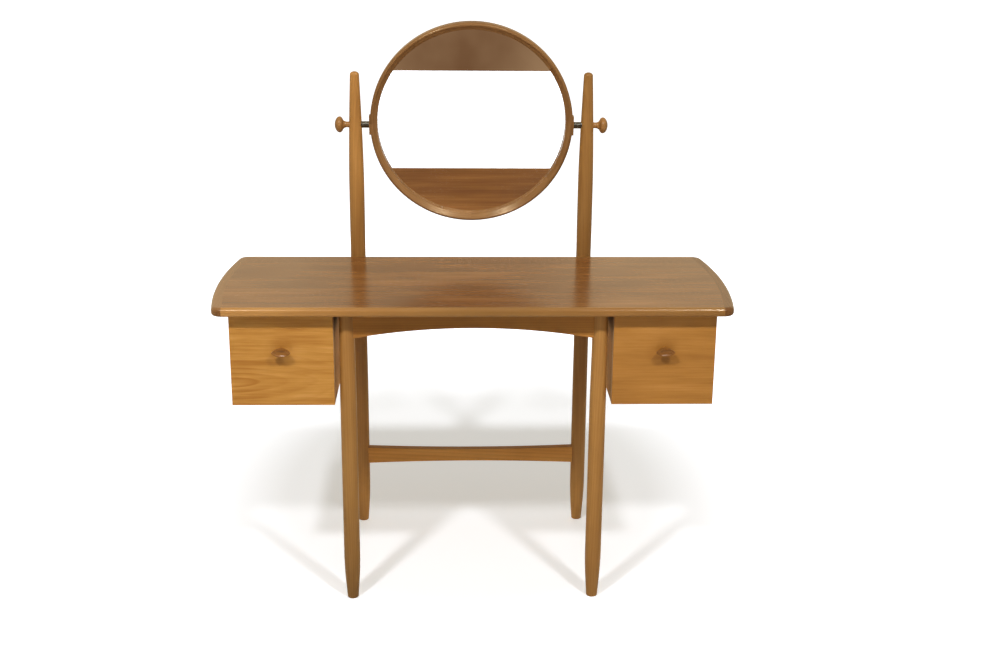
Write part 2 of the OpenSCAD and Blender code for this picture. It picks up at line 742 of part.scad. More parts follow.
// Carved pull: a round neck that flares into a lens-shaped face, hollowed by one sweep of a round gouge
module drawer_pull() {
    half = pull_w / 2 + pull_tip;
    lens_r = (pow(half, 2) + pow(pull_h / 2, 2)) / pull_h;
    sweep_r = arc_radius(pull_w - 2 * pull_end_rim, pull_dish);
    scoop_r = arc_radius(pull_h - 2 * pull_edge_rim, pull_dish);
    flare = [for (i = [0:steps]) let (t = i / steps)
        [pull_neck_r + (pull_w / 2 - pull_neck_r) * pow(t, pull_bend), (pull_out - pull_rim) * t]];
    translate([case_mid_x, front_face_y, pull_z]) rotate([90, 0, 0]) difference() {
        intersection() {
            rotate_extrude() polygon(concat([[0, 0]], flare, [[pull_w / 2, pull_out], [0, pull_out]]));
            intersection_for(up = [-1, 1]) translate([0, up * (lens_r - pull_h / 2), -cut])
                cylinder(r = lens_r, h = pull_out + 2 * cut);
        }
        translate([0, 0, pull_out - pull_dish + sweep_r]) rotate([90, 0, 0])
            rotate_extrude() translate([sweep_r - scoop_r, 0]) circle(r = scoop_r);
        translate([0, 0, -cut]) cylinder(r = pull_screw_r + screw_gap, h = pull_screw_in + cut + screw_gap);
    }
}

pull_screw_in = pull_out * pull_screw_share;
pull_screw_head_r = 2 * pull_screw_r;

module drawer_pull_screw() {
    translate([case_mid_x, front_back_y, pull_z]) rotate([90, 0, 0]) {
        cylinder(r = pull_screw_r, h = front_t + pull_screw_in);
        translate([0, 0, -pull_screw_r]) cylinder(r = pull_screw_head_r, h = pull_screw_r);
    }
}

module drawer_left_front() color(teak) on_side(-1) drawer_front();
module drawer_left_outer_side() color(oak_light) on_side(-1) drawer_outer_side();
module drawer_left_inner_side() color(oak_light) on_side(-1) drawer_inner_side();
module drawer_left_back() color(oak_light) on_side(-1) drawer_back();
module drawer_left_bottom() color(board) on_side(-1) drawer_bottom();
module drawer_left_pull() color(teak_dark) on_side(-1) drawer_pull();
module drawer_left_pull_screw() color(steel) on_side(-1) drawer_pull_screw();
module drawer_right_front() color(teak) on_side(1) drawer_front();
module drawer_right_outer_side() color(oak_light) on_side(1) drawer_outer_side();
module drawer_right_inner_side() color(oak_light) on_side(1) drawer_inner_side();
module drawer_right_back() color(oak_light) on_side(1) drawer_back();
module drawer_right_bottom() color(board) on_side(1) drawer_bottom();
module drawer_right_pull() color(teak_dark) on_side(1) drawer_pull();
module drawer_right_pull_screw() color(steel) on_side(1) drawer_pull_screw();

// Mirror, drawn facing -Y about its own centre and leaned forward on the pivots

module on_pivots() translate([0, post_y, pivot_z]) rotate([mirror_tilt, 0, 0]) children();
module in_ring() on_pivots() translate([0, 0, ring_rise]) children();

// Revolve a section drawn as [radius, distance behind the mirror's middle]
module turned_face_on() rotate([-90, 0, 0]) rotate_extrude($fn = ring_faces) children();

// Section of the ring: rounded face, rounded back edge and a rebate behind the lip
module ring_section() {
    lip = ring_r - ring_w;
    difference() {
        union() {
            translate([lip, -ring_back + ring_front_round])
                square([ring_w, ring_depth - ring_front_round - ring_back_round]);
            translate([lip + ring_front_round, -ring_back])
                square([ring_w - 2 * ring_front_round, ring_depth]);
            translate([lip, 0]) square([ring_w - ring_back_round, ring_back]);
            for (r = [lip + ring_front_round, ring_r - ring_front_round])
                translate([r, -ring_back + ring_front_round]) circle(ring_front_round);
            translate([ring_r - ring_back_round, ring_back - ring_back_round]) circle(ring_back_round);
        }
        translate([lip - cut, ring_back - rebate_depth]) square([rebate_w + cut, rebate_depth + cut]);
    }
}

// Flat boss on each side of the ring, with the ring's own roundings on its edges
module ring_boss() {
    depth = ring_depth - ring_front_round;
    translate([ring_r - ring_w / 2, -depth / 2, -ring_rise - boss_h / 2])
        cube([ring_w / 2 + boss_out, depth, boss_h]);
}

module mirror_ring() {
    color(teak) in_ring() difference() {
        union() {
            turned_face_on() ring_section();
            for (side = [0, 1]) mirror([side, 0, 0]) ring_boss();
        }
        for (side = [-1, 1]) translate([0, 0, -ring_rise]) rotate([0, side * 90, 0])
            translate([0, 0, boss_x - stud_in - screw_gap]) cylinder(r = stud_r + screw_gap, h = 2 * stud_in);
        at_clips() rotate([90, 0, 0])
            cylinder(r = small_screw_r + screw_gap, h = small_screw_len + screw_gap);
    }
}

module mirror_glass() {
    color(silvered) in_ring() translate([0, ring_back - rebate_depth, 0]) rotate([-90, 0, 0])
        cylinder(r = glass_r, h = glass_t, $fn = ring_faces);
}

// Clips stand round the back of the ring, with their screws in its flat back face
module at_clips() {
    for (i = [0:clips_n - 1]) rotate([0, 360 * (i + 0.5) / clips_n, 0])
        translate([(rebate_r + clip_out_r) / 2, ring_back, 0]) children();
}

module mirror_clips() {
    clip_in_x = rebate_r - clip_reach - (rebate_r + clip_out_r) / 2;
    color(brass) in_ring() at_clips() difference() {
        translate([clip_in_x, 0, -clip_w / 2]) cube([clip_reach + clip_out_r - rebate_r, clip_t, clip_w]);
        translate([0, -cut, 0]) rotate([-90, 0, 0])
            cylinder(r = small_screw_r + screw_gap, h = clip_t + 2 * cut);
    }
}

module mirror_backing() {
    color(board) in_ring() translate([0, ring_back - rebate_depth + glass_t, 0]) rotate([-90, 0, 0])
        cylinder(r = glass_r, h = backing_t, $fn = ring_faces);
}

module mirror_clip_screws() {
    color(steel) in_ring() at_clips() {
        rotate([90, 0, 0]) cylinder(r = small_screw_r, h = small_screw_len);
        rotate([-90, 0, 0]) cylinder(r = small_screw_r, h = clip_t);
        translate([0, clip_t, 0]) rotate([-90, 0, 0]) cylinder(r = small_head_r, h = small_screw_r);
    }
}

module pivot_stud() {
    rotate([0, 90, 0]) translate([0, 0, boss_x - stud_in])
        cylinder(r = stud_r, h = stud_end_x - boss_x + stud_in);
}

module spacer_tube() {
    rotate([0, 90, 0]) translate([0, 0, boss_x]) difference() {
        cylinder(r = spacer_r, h = spacer_end_x - boss_x);
        translate([0, 0, -cut]) cylinder(r = stud_r + stud_gap, h = spacer_end_x - boss_x + 2 * cut);
    }
}

// Turned mushroom knob: a small foot, a waisted neck that flares into an egg-shaped head
module knob() {
    flare_r = knob_r * cos(knob_start_angle);
    flare_len = knob_neck + knob_head * knob_low_share * (1 + sin(knob_start_angle));
    neck = [for (i = [0:steps]) let (t = i / steps)
        [knob_neck_r + (knob_foot_r - knob_neck_r) * pow(1 - t, knob_foot_bend)
            + (flare_r - knob_neck_r) * pow(t, knob_under_bend), flare_len * t]];
    head = [for (i = [1:steps])
        let (a = knob_start_angle + (90 - knob_start_angle) * i / steps,
            share = a < 0 ? knob_low_share : 1 - knob_low_share)
        [knob_r * (a < 90 ? cos(a) : 0), knob_neck + knob_head * (knob_low_share + share * sin(a))]];
    rotate([0, 90, 0]) translate([0, 0, knob_foot_x]) difference() {
        rotate_extrude() polygon(concat([[0, 0]], neck, head));
        translate([0, 0, -cut]) cylinder(r = stud_r + 4 * screw_gap, h = knob_neck + 2 * cut);
        translate([0, 0, knob_neck]) cylinder(r = bush_r + screw_gap, h = bush_len + screw_gap);
    }
}

module knob_bush() {
    rotate([0, 90, 0]) translate([0, 0, knob_head_x]) difference() {
        cylinder(r = bush_r, h = bush_len);
        translate([0, 0, -cut]) cylinder(r = stud_r + stud_gap, h = bush_len + 2 * cut);
    }
}

module pivot_stud_left() color(steel) on_pivots() mirror([1, 0, 0]) pivot_stud();
module pivot_stud_right() color(steel) on_pivots() pivot_stud();
module spacer_tube_left() color(steel_dark) on_pivots() mirror([1, 0, 0]) spacer_tube();
module spacer_tube_right() color(steel_dark) on_pivots() spacer_tube();
module knob_left() color(teak) on_pivots() mirror([1, 0, 0]) knob();
module knob_right() color(teak) on_pivots() knob();
module knob_bush_left() color(brass) on_pivots() mirror([1, 0, 0]) knob_bush();
module knob_bush_right() color(brass) on_pivots() knob_bush();

top_panel();
top_lipping_front();
top_lipping_back();
top_lipping_left();
top_lipping_right();
front_leg_left();
front_leg_right();
rear_leg_left();
rear_leg_right();
front_apron();
rear_apron();
side_rail_left();
side_rail_right();
rear_stretcher();
corner_blocks();
top_screws();
case_screws();
case_left_outer_wall();
case_left_inner_wall();
case_left_back();
case_left_bottom();
case_left_top_board();
drawer_runners_left();
case_right_outer_wall();
case_right_inner_wall();
case_right_back();
case_right_bottom();
case_right_top_board();
drawer_runners_right();
drawer_left_front();
drawer_left_outer_side();
drawer_left_inner_side();
drawer_left_back();
drawer_left_bottom();
drawer_left_pull();
drawer_left_pull_screw();
drawer_right_front();
drawer_right_outer_side();
drawer_right_inner_side();
drawer_right_back();
drawer_right_bottom();
drawer_right_pull();
drawer_right_pull_screw();
mirror_ring();
mirror_glass();
mirror_backing();
mirror_clips();
mirror_clip_screws();
pivot_stud_left();
pivot_stud_right();
spacer_tube_left();
spacer_tube_right();
knob_left();
knob_right();
knob_bush_left();
knob_bush_right();
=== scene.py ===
"""Dressing table with a tilting round mirror: finishes, fine pieces, floor, lamps and camera."""
import json
import logging
import math
from dataclasses import dataclass, field, replace
from enum import Enum
from functools import cached_property
from typing import Any

import bpy
from mathutils import Matrix, Quaternion, Vector

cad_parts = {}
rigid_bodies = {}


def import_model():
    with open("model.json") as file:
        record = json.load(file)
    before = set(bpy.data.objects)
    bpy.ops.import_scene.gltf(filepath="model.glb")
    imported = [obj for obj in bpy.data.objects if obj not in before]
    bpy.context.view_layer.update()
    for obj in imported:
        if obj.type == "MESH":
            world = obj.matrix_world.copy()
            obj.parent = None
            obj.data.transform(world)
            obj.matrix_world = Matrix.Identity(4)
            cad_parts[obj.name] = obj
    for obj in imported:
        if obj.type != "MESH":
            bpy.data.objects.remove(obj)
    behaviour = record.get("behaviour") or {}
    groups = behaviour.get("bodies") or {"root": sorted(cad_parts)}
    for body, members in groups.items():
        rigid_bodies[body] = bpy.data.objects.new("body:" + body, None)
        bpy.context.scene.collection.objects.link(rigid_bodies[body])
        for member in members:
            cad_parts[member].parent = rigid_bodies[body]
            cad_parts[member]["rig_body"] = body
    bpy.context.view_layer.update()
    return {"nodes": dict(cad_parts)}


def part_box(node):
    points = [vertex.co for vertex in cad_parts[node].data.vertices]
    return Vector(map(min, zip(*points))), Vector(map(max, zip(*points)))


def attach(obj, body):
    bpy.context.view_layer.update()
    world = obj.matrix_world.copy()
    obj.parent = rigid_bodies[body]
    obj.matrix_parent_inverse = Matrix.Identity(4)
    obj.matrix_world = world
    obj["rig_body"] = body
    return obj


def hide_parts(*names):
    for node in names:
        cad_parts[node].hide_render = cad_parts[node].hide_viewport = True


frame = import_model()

# The photograph's width in pixels, and the camera's sensor in millimetres
PHOTO_WIDTH = 994
SENSOR_WIDTH = 36.0
RIGHT_ANGLE = math.pi / 2
# Points nearer than this are one point, and faces flatter than this are one face
MERGE = 1e-5
FLAT = math.radians(0.4)
# The angle in degrees from which an edge is crisp, and the faces across an eased one
CRISP = 35.0
EDGE_STEPS = 2
# The width of the eased edges of screws and other small fittings, in metres
FITTING_EDGE = 0.0003

log = logging.getLogger("dressing_table")

Socket = bpy.types.NodeSocket
Node = bpy.types.Node
Piece = bpy.types.Object
Triple = tuple[float, float, float]
Colour = Triple
Span = tuple[float, float]
Stops = list[tuple[float, Colour]]
# Painted light and shade along the grain: a place and a colour share at each stop
PaintedLight = tuple[tuple[float, float], ...]

WHITE: Colour = (1.0, 1.0, 1.0)
# The colour that painted shade darkens towards
PAINTED_SHADE: Colour = (0.24, 0.18, 0.13)
DOWNWARD = Vector((0.0, 0.0, -1.0))
BACKWARD = Vector((0.0, 1.0, 0.0))


class Side(Enum):
    """The two ends of the table, seen from the front."""

    LEFT = "left"
    RIGHT = "right"


class Grain(Enum):
    """How a board lies: the way its grain runs, then the way its face looks."""

    X_FACING_Y = (0.0, 0.0, 0.0)
    X_FACING_Z = (RIGHT_ANGLE, 0.0, 0.0)
    Y_FACING_X = (0.0, 0.0, -RIGHT_ANGLE)
    Y_FACING_Z = (0.0, RIGHT_ANGLE, -RIGHT_ANGLE)
    Z_FACING_Y = (0.0, RIGHT_ANGLE, 0.0)


# Shader trees


@dataclass
class Recipe:
    """A node tree that is being filled, with short calls for the nodes used here."""

    # The Mix node's sockets: its factor and its two colours, and its mixed colour
    MIX_INPUTS = (0, 6, 7)
    MIX_RESULT = 2

    tree: bpy.types.NodeTree

    def put(self, kind: str, **values: Any) -> Node:
        """Add one node.

        Args:
            kind: The node's type name without its ShaderNode prefix.
            values: Attributes of the node.

        Returns:
            The new node.
        """
        node = self.tree.nodes.new("ShaderNode" + kind)
        for name, value in values.items():
            setattr(node, name, value)
        return node

    def join(self, socket: Socket, source: Any) -> None:
        """Link a socket to its source, or set it.

        Args:
            socket: The input.
            source: A socket to link, or a plain number, vector or colour.
        """
        if isinstance(source, Socket):
            self.tree.links.new(source, socket)
        elif socket.type == "RGBA":
            socket.default_value = (*source, 1.0)
        else:
            socket.default_value = source

    def feed(self, node: Node, **sources: Any) -> Node:
        """Set or link a node's inputs; an underscore in a name stands for a space.

        Args:
            node: The node that is fed.
            sources: A socket to link, or a plain value, for each input.

        Returns:
            The same node.
        """
        for name, source in sources.items():
            self.join(node.inputs[name.replace("_", " ")], source)
        return node

    def fill(self, node: Node, *sources: Any) -> Node:
        """Set or link a node's inputs in their order.

        Args:
            node: The node that is fed.
            sources: A socket to link, or a plain value, for each input.

        Returns:
            The same node.
        """
        for socket, source in zip(node.inputs, sources):
            self.join(socket, source)
        return node

    def calc(self, operation: str, *terms: Any) -> Socket:
        """The value of a Math node, from a socket or a number for each term."""
        return self.fill(self.put("Math", operation=operation), *terms).outputs[0]

    def times(self, first: Socket, second: Any) -> Socket:
        """The product of two values."""
        return self.calc("MULTIPLY", first, second)

    def vectors(self, operation: str, *terms: Any, gives: str = "Vector") -> Socket:
        """The named output of a Vector Math node, from a socket or a vector for each term."""
        return self.fill(self.put("VectorMath", operation=operation), *terms).outputs[gives]

    def object_place(self) -> Socket:
        """The place on the object, in metres."""
        return self.put("TexCoord").outputs["Object"]

    def axes(self, vector: Socket) -> Any:
        """The X, Y and Z of a vector."""
        return self.feed(self.put("SeparateXYZ"), Vector=vector).outputs

    def radius(self, first: Socket, second: Socket) -> Socket:
        """How far a point is from the middle, from its two distances at right angles."""
        square = self.calc("ADD", self.calc("POWER", first, 2.0), self.calc("POWER", second, 2.0))
        return self.calc("SQRT", square)

    def noise(self, vector: Socket, scale: Any = 1.0, detail: float = 2.0, rough: float = 0.5) -> Socket:
        """A noise value from 0 to 1; detail counts its octaves, and rough says how strong the finer are."""
        node = self.feed(self.put("TexNoise"), Vector=vector, Scale=scale, Detail=detail, Roughness=rough)
        return node.outputs["Fac"]

    def span(self, value: Socket, low: float, high: float, to_low: float = 0.0,
             to_high: float = 1.0) -> Socket:
        """A value mapped from the range low to high onto the range to_low to to_high, clamped."""
        return self.fill(self.put("MapRange"), value, low, high, to_low, to_high).outputs[0]

    def ramp(self, value: Socket, stops: Stops) -> Socket:
        """A colour ramp.

        Args:
            value: The place on the ramp.
            stops: Place and colour of each stop.

        Returns:
            The colour.
        """
        node = self.put("ValToRGB")
        bar = node.color_ramp.elements
        while len(bar) < len(stops):
            bar.new(1.0)
        for stop, (place, colour) in zip(bar, stops):
            stop.position = place
            stop.color = (*colour, 1.0)
        self.join(node.inputs[0], value)
        return node.outputs[0]

    def blend(self, kind: str, amount: Any, first: Any, second: Any) -> Socket:
        """A colour mix.

        Args:
            kind: The blend type.
            amount: How much of it, as a socket or number.
            first: The first colour.
            second: The second colour.

        Returns:
            The mixed colour.
        """
        node = self.put("Mix", data_type="RGBA", blend_type=kind)
        for place, source in zip(self.MIX_INPUTS, (amount, first, second)):
            self.join(node.inputs[place], source)
        return node.outputs[self.MIX_RESULT]

    def either(self, choice: Socket, plain: Node, chosen: Node) -> Node:
        """A mix of two shaders: plain where the choice is 0, and chosen where it is 1."""
        return self.fill(self.put("MixShader"), choice, plain.outputs[0], chosen.outputs[0])


@dataclass(frozen=True)
class Groups:
    """The node groups that several finishes share, each made when it is first asked for."""

    ring_wobble: Triple = (2.5, 12.0, 12.0)
    ring_spacing: Triple = (0.8, 22.0, 22.0)
    uneven_turns: float = 2.0
    late_wood_end: float = 0.84
    tone_stretch: Triple = (1.6, 11.0, 11.0)
    streak_stretch: Triple = (4.0, 150.0, 150.0)
    pore_stretch: Triple = (60.0, 1500.0, 1500.0)
    pore_span: Span = (0.62, 0.78)
    edge_span: Span = (0.99, 0.86)
    patch_span: Span = (0.3, 0.65)
    handled_span: Span = (0.35, 0.7)
    gap_span: Span = (0.46, 0.08)

    @staticmethod
    def start(name: str, takes: dict[str, float | None], gives: tuple[str, ...]) -> tuple[Recipe, Any, Node]:
        """An empty group with its sockets.

        Args:
            name: The group's name.
            takes: Name and default of each input; None stands for a vector.
            gives: Name of each output value.

        Returns:
            The group's recipe, what it is given, and the node that takes its results.
        """
        tree = bpy.data.node_groups.new(name, "ShaderNodeTree")
        for label, value in takes.items():
            kind = "NodeSocketVector" if value is None else "NodeSocketFloat"
            socket = tree.interface.new_socket(name=label, in_out="INPUT", socket_type=kind)
            if value is not None:
                socket.default_value = value
        for label in gives:
            tree.interface.new_socket(name=label, in_out="OUTPUT", socket_type="NodeSocketFloat")
        return Recipe(tree), tree.nodes.new("NodeGroupInput").outputs, tree.nodes.new("NodeGroupOutput")

    @cached_property
    def grain(self) -> bpy.types.NodeTree:
        """Growth rings cut by the board's face, slow tone, streaks and pores, with the grain along X.

        Returns:
            The group.
        """
        takes = {"Place": None, "Ring Width": 0.006, "Pith Depth": 0.05, "Taper": 0.05, "Wander": 0.004,
                 "Tone Scale": 1.0, "Streak Scale": 1.0}
        mix, given, sink = self.start("wood_grain", takes, ("Rings", "Tone", "Streaks", "Pores"))
        place = given["Place"]
        axes = mix.axes(place)
        wobble = mix.noise(mix.vectors("MULTIPLY", place, self.ring_wobble), detail=1.0)
        wobble = mix.times(mix.calc("MULTIPLY_ADD", wobble, 2.0, -1.0), given["Wander"])
        slope = mix.times(axes["X"], given["Taper"])
        depth = mix.calc("ADD", mix.calc("ADD", given["Pith Depth"], slope), axes["Y"])
        turns = mix.calc("DIVIDE", mix.radius(mix.calc("ADD", depth, wobble), axes["Z"]), given["Ring Width"])
        uneven = mix.noise(mix.vectors("MULTIPLY", place, self.ring_spacing), detail=0.0)
        saw = mix.calc("FRACT", mix.calc("ADD", turns, mix.times(uneven, self.uneven_turns)))
        early = mix.span(saw, self.late_wood_end, 1.0, 1.0, 0.0)
        tone = mix.vectors("MULTIPLY", place, self.tone_stretch)
        streaks = mix.vectors("MULTIPLY", place, self.streak_stretch)
        pores = mix.noise(mix.vectors("MULTIPLY", place, self.pore_stretch), detail=1.0)
        mix.feed(sink, Rings=mix.times(mix.calc("POWER", saw, 2.0), early),
                 Tone=mix.noise(tone, given["Tone Scale"], detail=3.0, rough=0.6),
                 Streaks=mix.noise(streaks, given["Streak Scale"], detail=4.0, rough=0.65),
                 Pores=mix.span(pores, *self.pore_span))
        return mix.tree

    @cached_property
    def wear(self) -> bpy.types.NodeTree:
        """Where an edge is rubbed, broken up by noise, and where the surface has been handled.

        Returns:
            The group.
        """
        takes = {"Place": None, "Edge Width": 0.002}
        mix, given, sink = self.start("edge_wear", takes, ("Edge", "Handled"))
        bevel = mix.feed(mix.put("Bevel", samples=6), Radius=given["Edge Width"])
        flat = mix.put("NewGeometry").outputs["Normal"]
        edge = mix.span(mix.vectors("DOT_PRODUCT", bevel.outputs[0], flat, gives="Value"), *self.edge_span)
        patchy = mix.span(mix.noise(given["Place"], scale=60.0, detail=3.0), *self.patch_span)
        handled = mix.span(mix.noise(given["Place"], scale=7.0, detail=3.0), *self.handled_span)
        mix.feed(sink, Edge=mix.times(edge, patchy), Handled=handled)
        return mix.tree

    @cached_property
    def gap(self) -> bpy.types.NodeTree:
        """How closed in a surface is by nearby pieces, as a mask for painted shade in a narrow gap between
        fixed pieces.

        Returns:
            The group.
        """
        mix, given, sink = self.start("narrow_gap", {"Gap Width": 0.05}, ("Gap",))
        openness = mix.feed(mix.put("AmbientOcclusion", samples=6), Distance=given["Gap Width"])
        mix.feed(sink, Gap=mix.span(openness.outputs["AO"], *self.gap_span))
        return mix.tree

    @cached_property
    def brushing(self) -> bpy.types.NodeTree:
        """Fine turning lines round the X axis and cloudy tone for metal.

        Returns:
            The group.
        """
        takes = {"Place": None, "Line Scale": 900.0}
        mix, given, sink = self.start("metal_brushing", takes, ("Lines", "Cloud"))
        along = mix.times(mix.axes(given["Place"])["X"], given["Line Scale"])
        wave = mix.feed(mix.put("CombineXYZ"), X=along)
        cloud = mix.noise(given["Place"], scale=120.0, detail=3.0)
        mix.feed(sink, Lines=mix.noise(wave.outputs[0]), Cloud=cloud)
        return mix.tree


GROUPS = Groups()


@dataclass(frozen=True)
class Finish:
    """A surface: what it is called, the material slot it stands for and how its shader is fed."""

    name: str
    slot: str

    def material(self) -> bpy.types.Material:
        """The finish as a material.

        Returns:
            The material, made once under its name.
        """
        known = bpy.data.materials.get(self.name)
        if known:
            return known
        material = bpy.data.materials.new(self.name)
        material.use_nodes = True
        self.feed_shader(Recipe(material.node_tree), material.node_tree.nodes["Principled BSDF"])
        return material

    def feed_shader(self, mix: Recipe, shader: Node) -> None:
        """Feed the shader, each kind of finish in its own way."""
        raise NotImplementedError


@dataclass(frozen=True)
class Tones:
    """The colours of one wood, from its dark streaks to its light ones, and of its growth lines."""

    dark: Colour
    middle: Colour
    light: Colour
    line: Colour


@dataclass(frozen=True)
class WoodFinish(Finish):
    """A wood surface, oiled or lacquered."""

    TONE_SHARE = 1.1
    TONE_MEAN = 0.55
    STREAK_MEAN = 0.5
    TONE_STOPS = (0.22, 0.5, 0.78)
    FAR_RINGS = 0.3
    END_SPAN = (0.55, 0.95)
    UPWARD_SPAN = (0.5, 0.9)
    DARK_PATCH_REACH = (0.022, 0.052)
    DARK_PATCH_RAGGED = 0.02
    DARK_PATCH_DEPTH = 0.30
    UNHANDLED = 1.12
    HANDLED = 0.86
    PORE_ROUGHNESS = 0.12
    STREAK_RELIEF = 0.5

    tones: Tones
    grain: Grain = Grain.X_FACING_Y
    centre: Triple = (0.0, 0.0, 0.0)
    pith_depth: float = 0.05
    taper: float = 0.05
    ring_width: float = 0.006
    wander: float = 0.004
    tone_scale: float = 1.0
    streak_scale: float = 1.0
    ring_strength: float = 0.35
    ring_reach: float = 0.0
    streak_strength: float = 0.35
    pore_strength: float = 0.25
    roughness: float = 0.38
    specular: float = 0.3
    shine: Colour = WHITE
    wear: float = 0.35
    bump: float = 0.25
    end_grain: float = 0.45
    # Painted light and shade along the grain
    painted_light: PaintedLight = ()
    dark_patch_at: Triple | None = None
    # How strong the painted shade is in narrow gaps and on upward faces
    painted_gap_shade: float = 0.0
    painted_top_shade: float = 0.0

    def placed(self, mix: Recipe) -> Socket:
        """The place on the surface, with the grain along the first axis."""
        centred = mix.vectors("SUBTRACT", mix.object_place(), self.centre)
        return mix.feed(mix.put("Mapping"), Vector=centred, Rotation=self.grain.value).outputs[0]

    def grown(self, mix: Recipe, place: Socket, grain: Any) -> Socket:
        """The colour of the wood as it grew: its tone, its growth lines and its pores.

        Args:
            mix: The material's recipe.
            place: The place with the grain along the first axis.
            grain: The grain's values.

        Returns:
            The colour.
        """
        slow = mix.times(grain["Tone"], self.TONE_SHARE)
        tone = mix.calc("ADD", slow, mix.times(grain["Streaks"], self.streak_strength))
        mean = self.TONE_MEAN * self.TONE_SHARE + self.STREAK_MEAN * self.streak_strength
        tone = mix.calc("SUBTRACT", tone, mean - self.TONE_STOPS[1])
        steps = (self.tones.dark, self.tones.middle, self.tones.light)
        colour = mix.ramp(tone, list(zip(self.TONE_STOPS, steps)))
        rings = mix.times(grain["Rings"], self.ring_strength)
        if self.ring_reach:
            away = mix.vectors("LENGTH", place, gives="Value")
            near = mix.span(away, self.ring_reach, 2.0 * self.ring_reach, 1.0, self.FAR_RINGS)
            rings = mix.times(rings, near)
        colour = mix.blend("MIX", rings, colour, self.tones.line)
        pores = mix.times(grain["Pores"], self.pore_strength)
        return mix.blend("MIX", pores, colour, self.tones.line)

    def with_ends(self, mix: Recipe, colour: Socket) -> Socket:
        """The colour, darker where the board shows its end grain.

        Args:
            mix: The material's recipe.
            colour: The colour so far.

        Returns:
            The new colour.
        """
        turn = mix.put("Mapping", vector_type="VECTOR")
        mix.feed(turn, Vector=mix.put("TexCoord").outputs["Normal"], Rotation=self.grain.value)
        along = mix.calc("ABSOLUTE", mix.axes(turn.outputs[0])["X"])
        return mix.blend("MIX", mix.span(along, *self.END_SPAN, 0.0, self.end_grain), colour, self.tones.line)

    def with_painted_light(self, mix: Recipe, place: Socket, colour: Socket) -> Socket:
        """The colour, with painted light and shade along the grain.

        Args:
            mix: The material's recipe.
            place: The place with the grain along the first axis.
            colour: The colour so far.

        Returns:
            The new colour.
        """
        first, last = self.painted_light[0][0], self.painted_light[-1][0]
        along = mix.span(mix.axes(place)["X"], first, last)
        stops = [((at - first) / (last - first), (share, share, share)) for at, share in self.painted_light]
        return mix.blend("MULTIPLY", 1.0, colour, mix.ramp(along, stops))

    def with_dark_patch(self, mix: Recipe, colour: Socket) -> Socket:
        """The colour, darker round the pull.

        Args:
            mix: The material's recipe.
            colour: The colour so far.

        Returns:
            The new colour.
        """
        place = mix.object_place()
        away = mix.vectors("DISTANCE", place, self.dark_patch_at, gives="Value")
        ragged = mix.times(mix.noise(place, scale=45.0, detail=3.0), self.DARK_PATCH_RAGGED)
        mark = mix.span(mix.calc("ADD", away, ragged), *self.DARK_PATCH_REACH, self.DARK_PATCH_DEPTH, 0.0)
        return mix.blend("MIX", mark, colour, self.tones.line)

    def with_painted_shade(self, mix: Recipe, colour: Socket) -> Socket:
        """The colour, with painted shade in narrow gaps and on upward faces.

        Args:
            mix: The material's recipe.
            colour: The colour so far.

        Returns:
            The new colour.
        """
        # Painted shade where nearby pieces close the surface in
        if self.painted_gap_shade:
            gap = mix.put("Group", node_tree=GROUPS.gap).outputs["Gap"]
            colour = mix.blend("MULTIPLY", mix.times(gap, self.painted_gap_shade), colour, PAINTED_SHADE)
        # Painted shade: upward faces darker
        if self.painted_top_shade:
            upward = mix.axes(mix.put("TexCoord").outputs["Normal"])["Z"]
            trodden = mix.span(upward, *self.UPWARD_SPAN, 0.0, self.painted_top_shade)
            colour = mix.blend("MULTIPLY", trodden, colour, PAINTED_SHADE)
        return colour

    def feed_shader(self, mix: Recipe, shader: Node) -> None:
        """Feed the shader with grain, colour, roughness and relief.

        Args:
            mix: The material's recipe.
            shader: The shader.
        """
        place = self.placed(mix)
        grain = mix.feed(mix.put("Group", node_tree=GROUPS.grain), Place=place, Ring_Width=self.ring_width,
                         Pith_Depth=self.pith_depth, Taper=self.taper, Wander=self.wander,
                         Tone_Scale=self.tone_scale, Streak_Scale=self.streak_scale).outputs
        wear = mix.feed(mix.put("Group", node_tree=GROUPS.wear), Place=place).outputs
        colour = self.with_ends(mix, self.grown(mix, place, grain))
        if self.painted_light:
            colour = self.with_painted_light(mix, place, colour)
        if self.dark_patch_at:
            colour = self.with_dark_patch(mix, colour)
        colour = mix.blend("MIX", mix.times(wear["Edge"], self.wear), colour, self.tones.light)
        colour = self.with_painted_shade(mix, colour)
        rough = mix.span(wear["Handled"], 0.0, 1.0, self.roughness * self.UNHANDLED,
                         self.roughness * self.HANDLED)
        rough = mix.calc("ADD", rough, mix.times(grain["Pores"], self.PORE_ROUGHNESS))
        relief = mix.times(grain["Streaks"], self.STREAK_RELIEF)
        relief = mix.calc("SUBTRACT", relief, grain["Pores"])
        bump = mix.feed(mix.put("Bump"), Height=relief, Strength=self.bump, Distance=0.0004)
        mix.feed(shader, Base_Color=colour, Roughness=rough, Normal=bump.outputs[0], IOR=1.48,
                 Specular_IOR_Level=self.specular, Specular_Tint=self.shine)


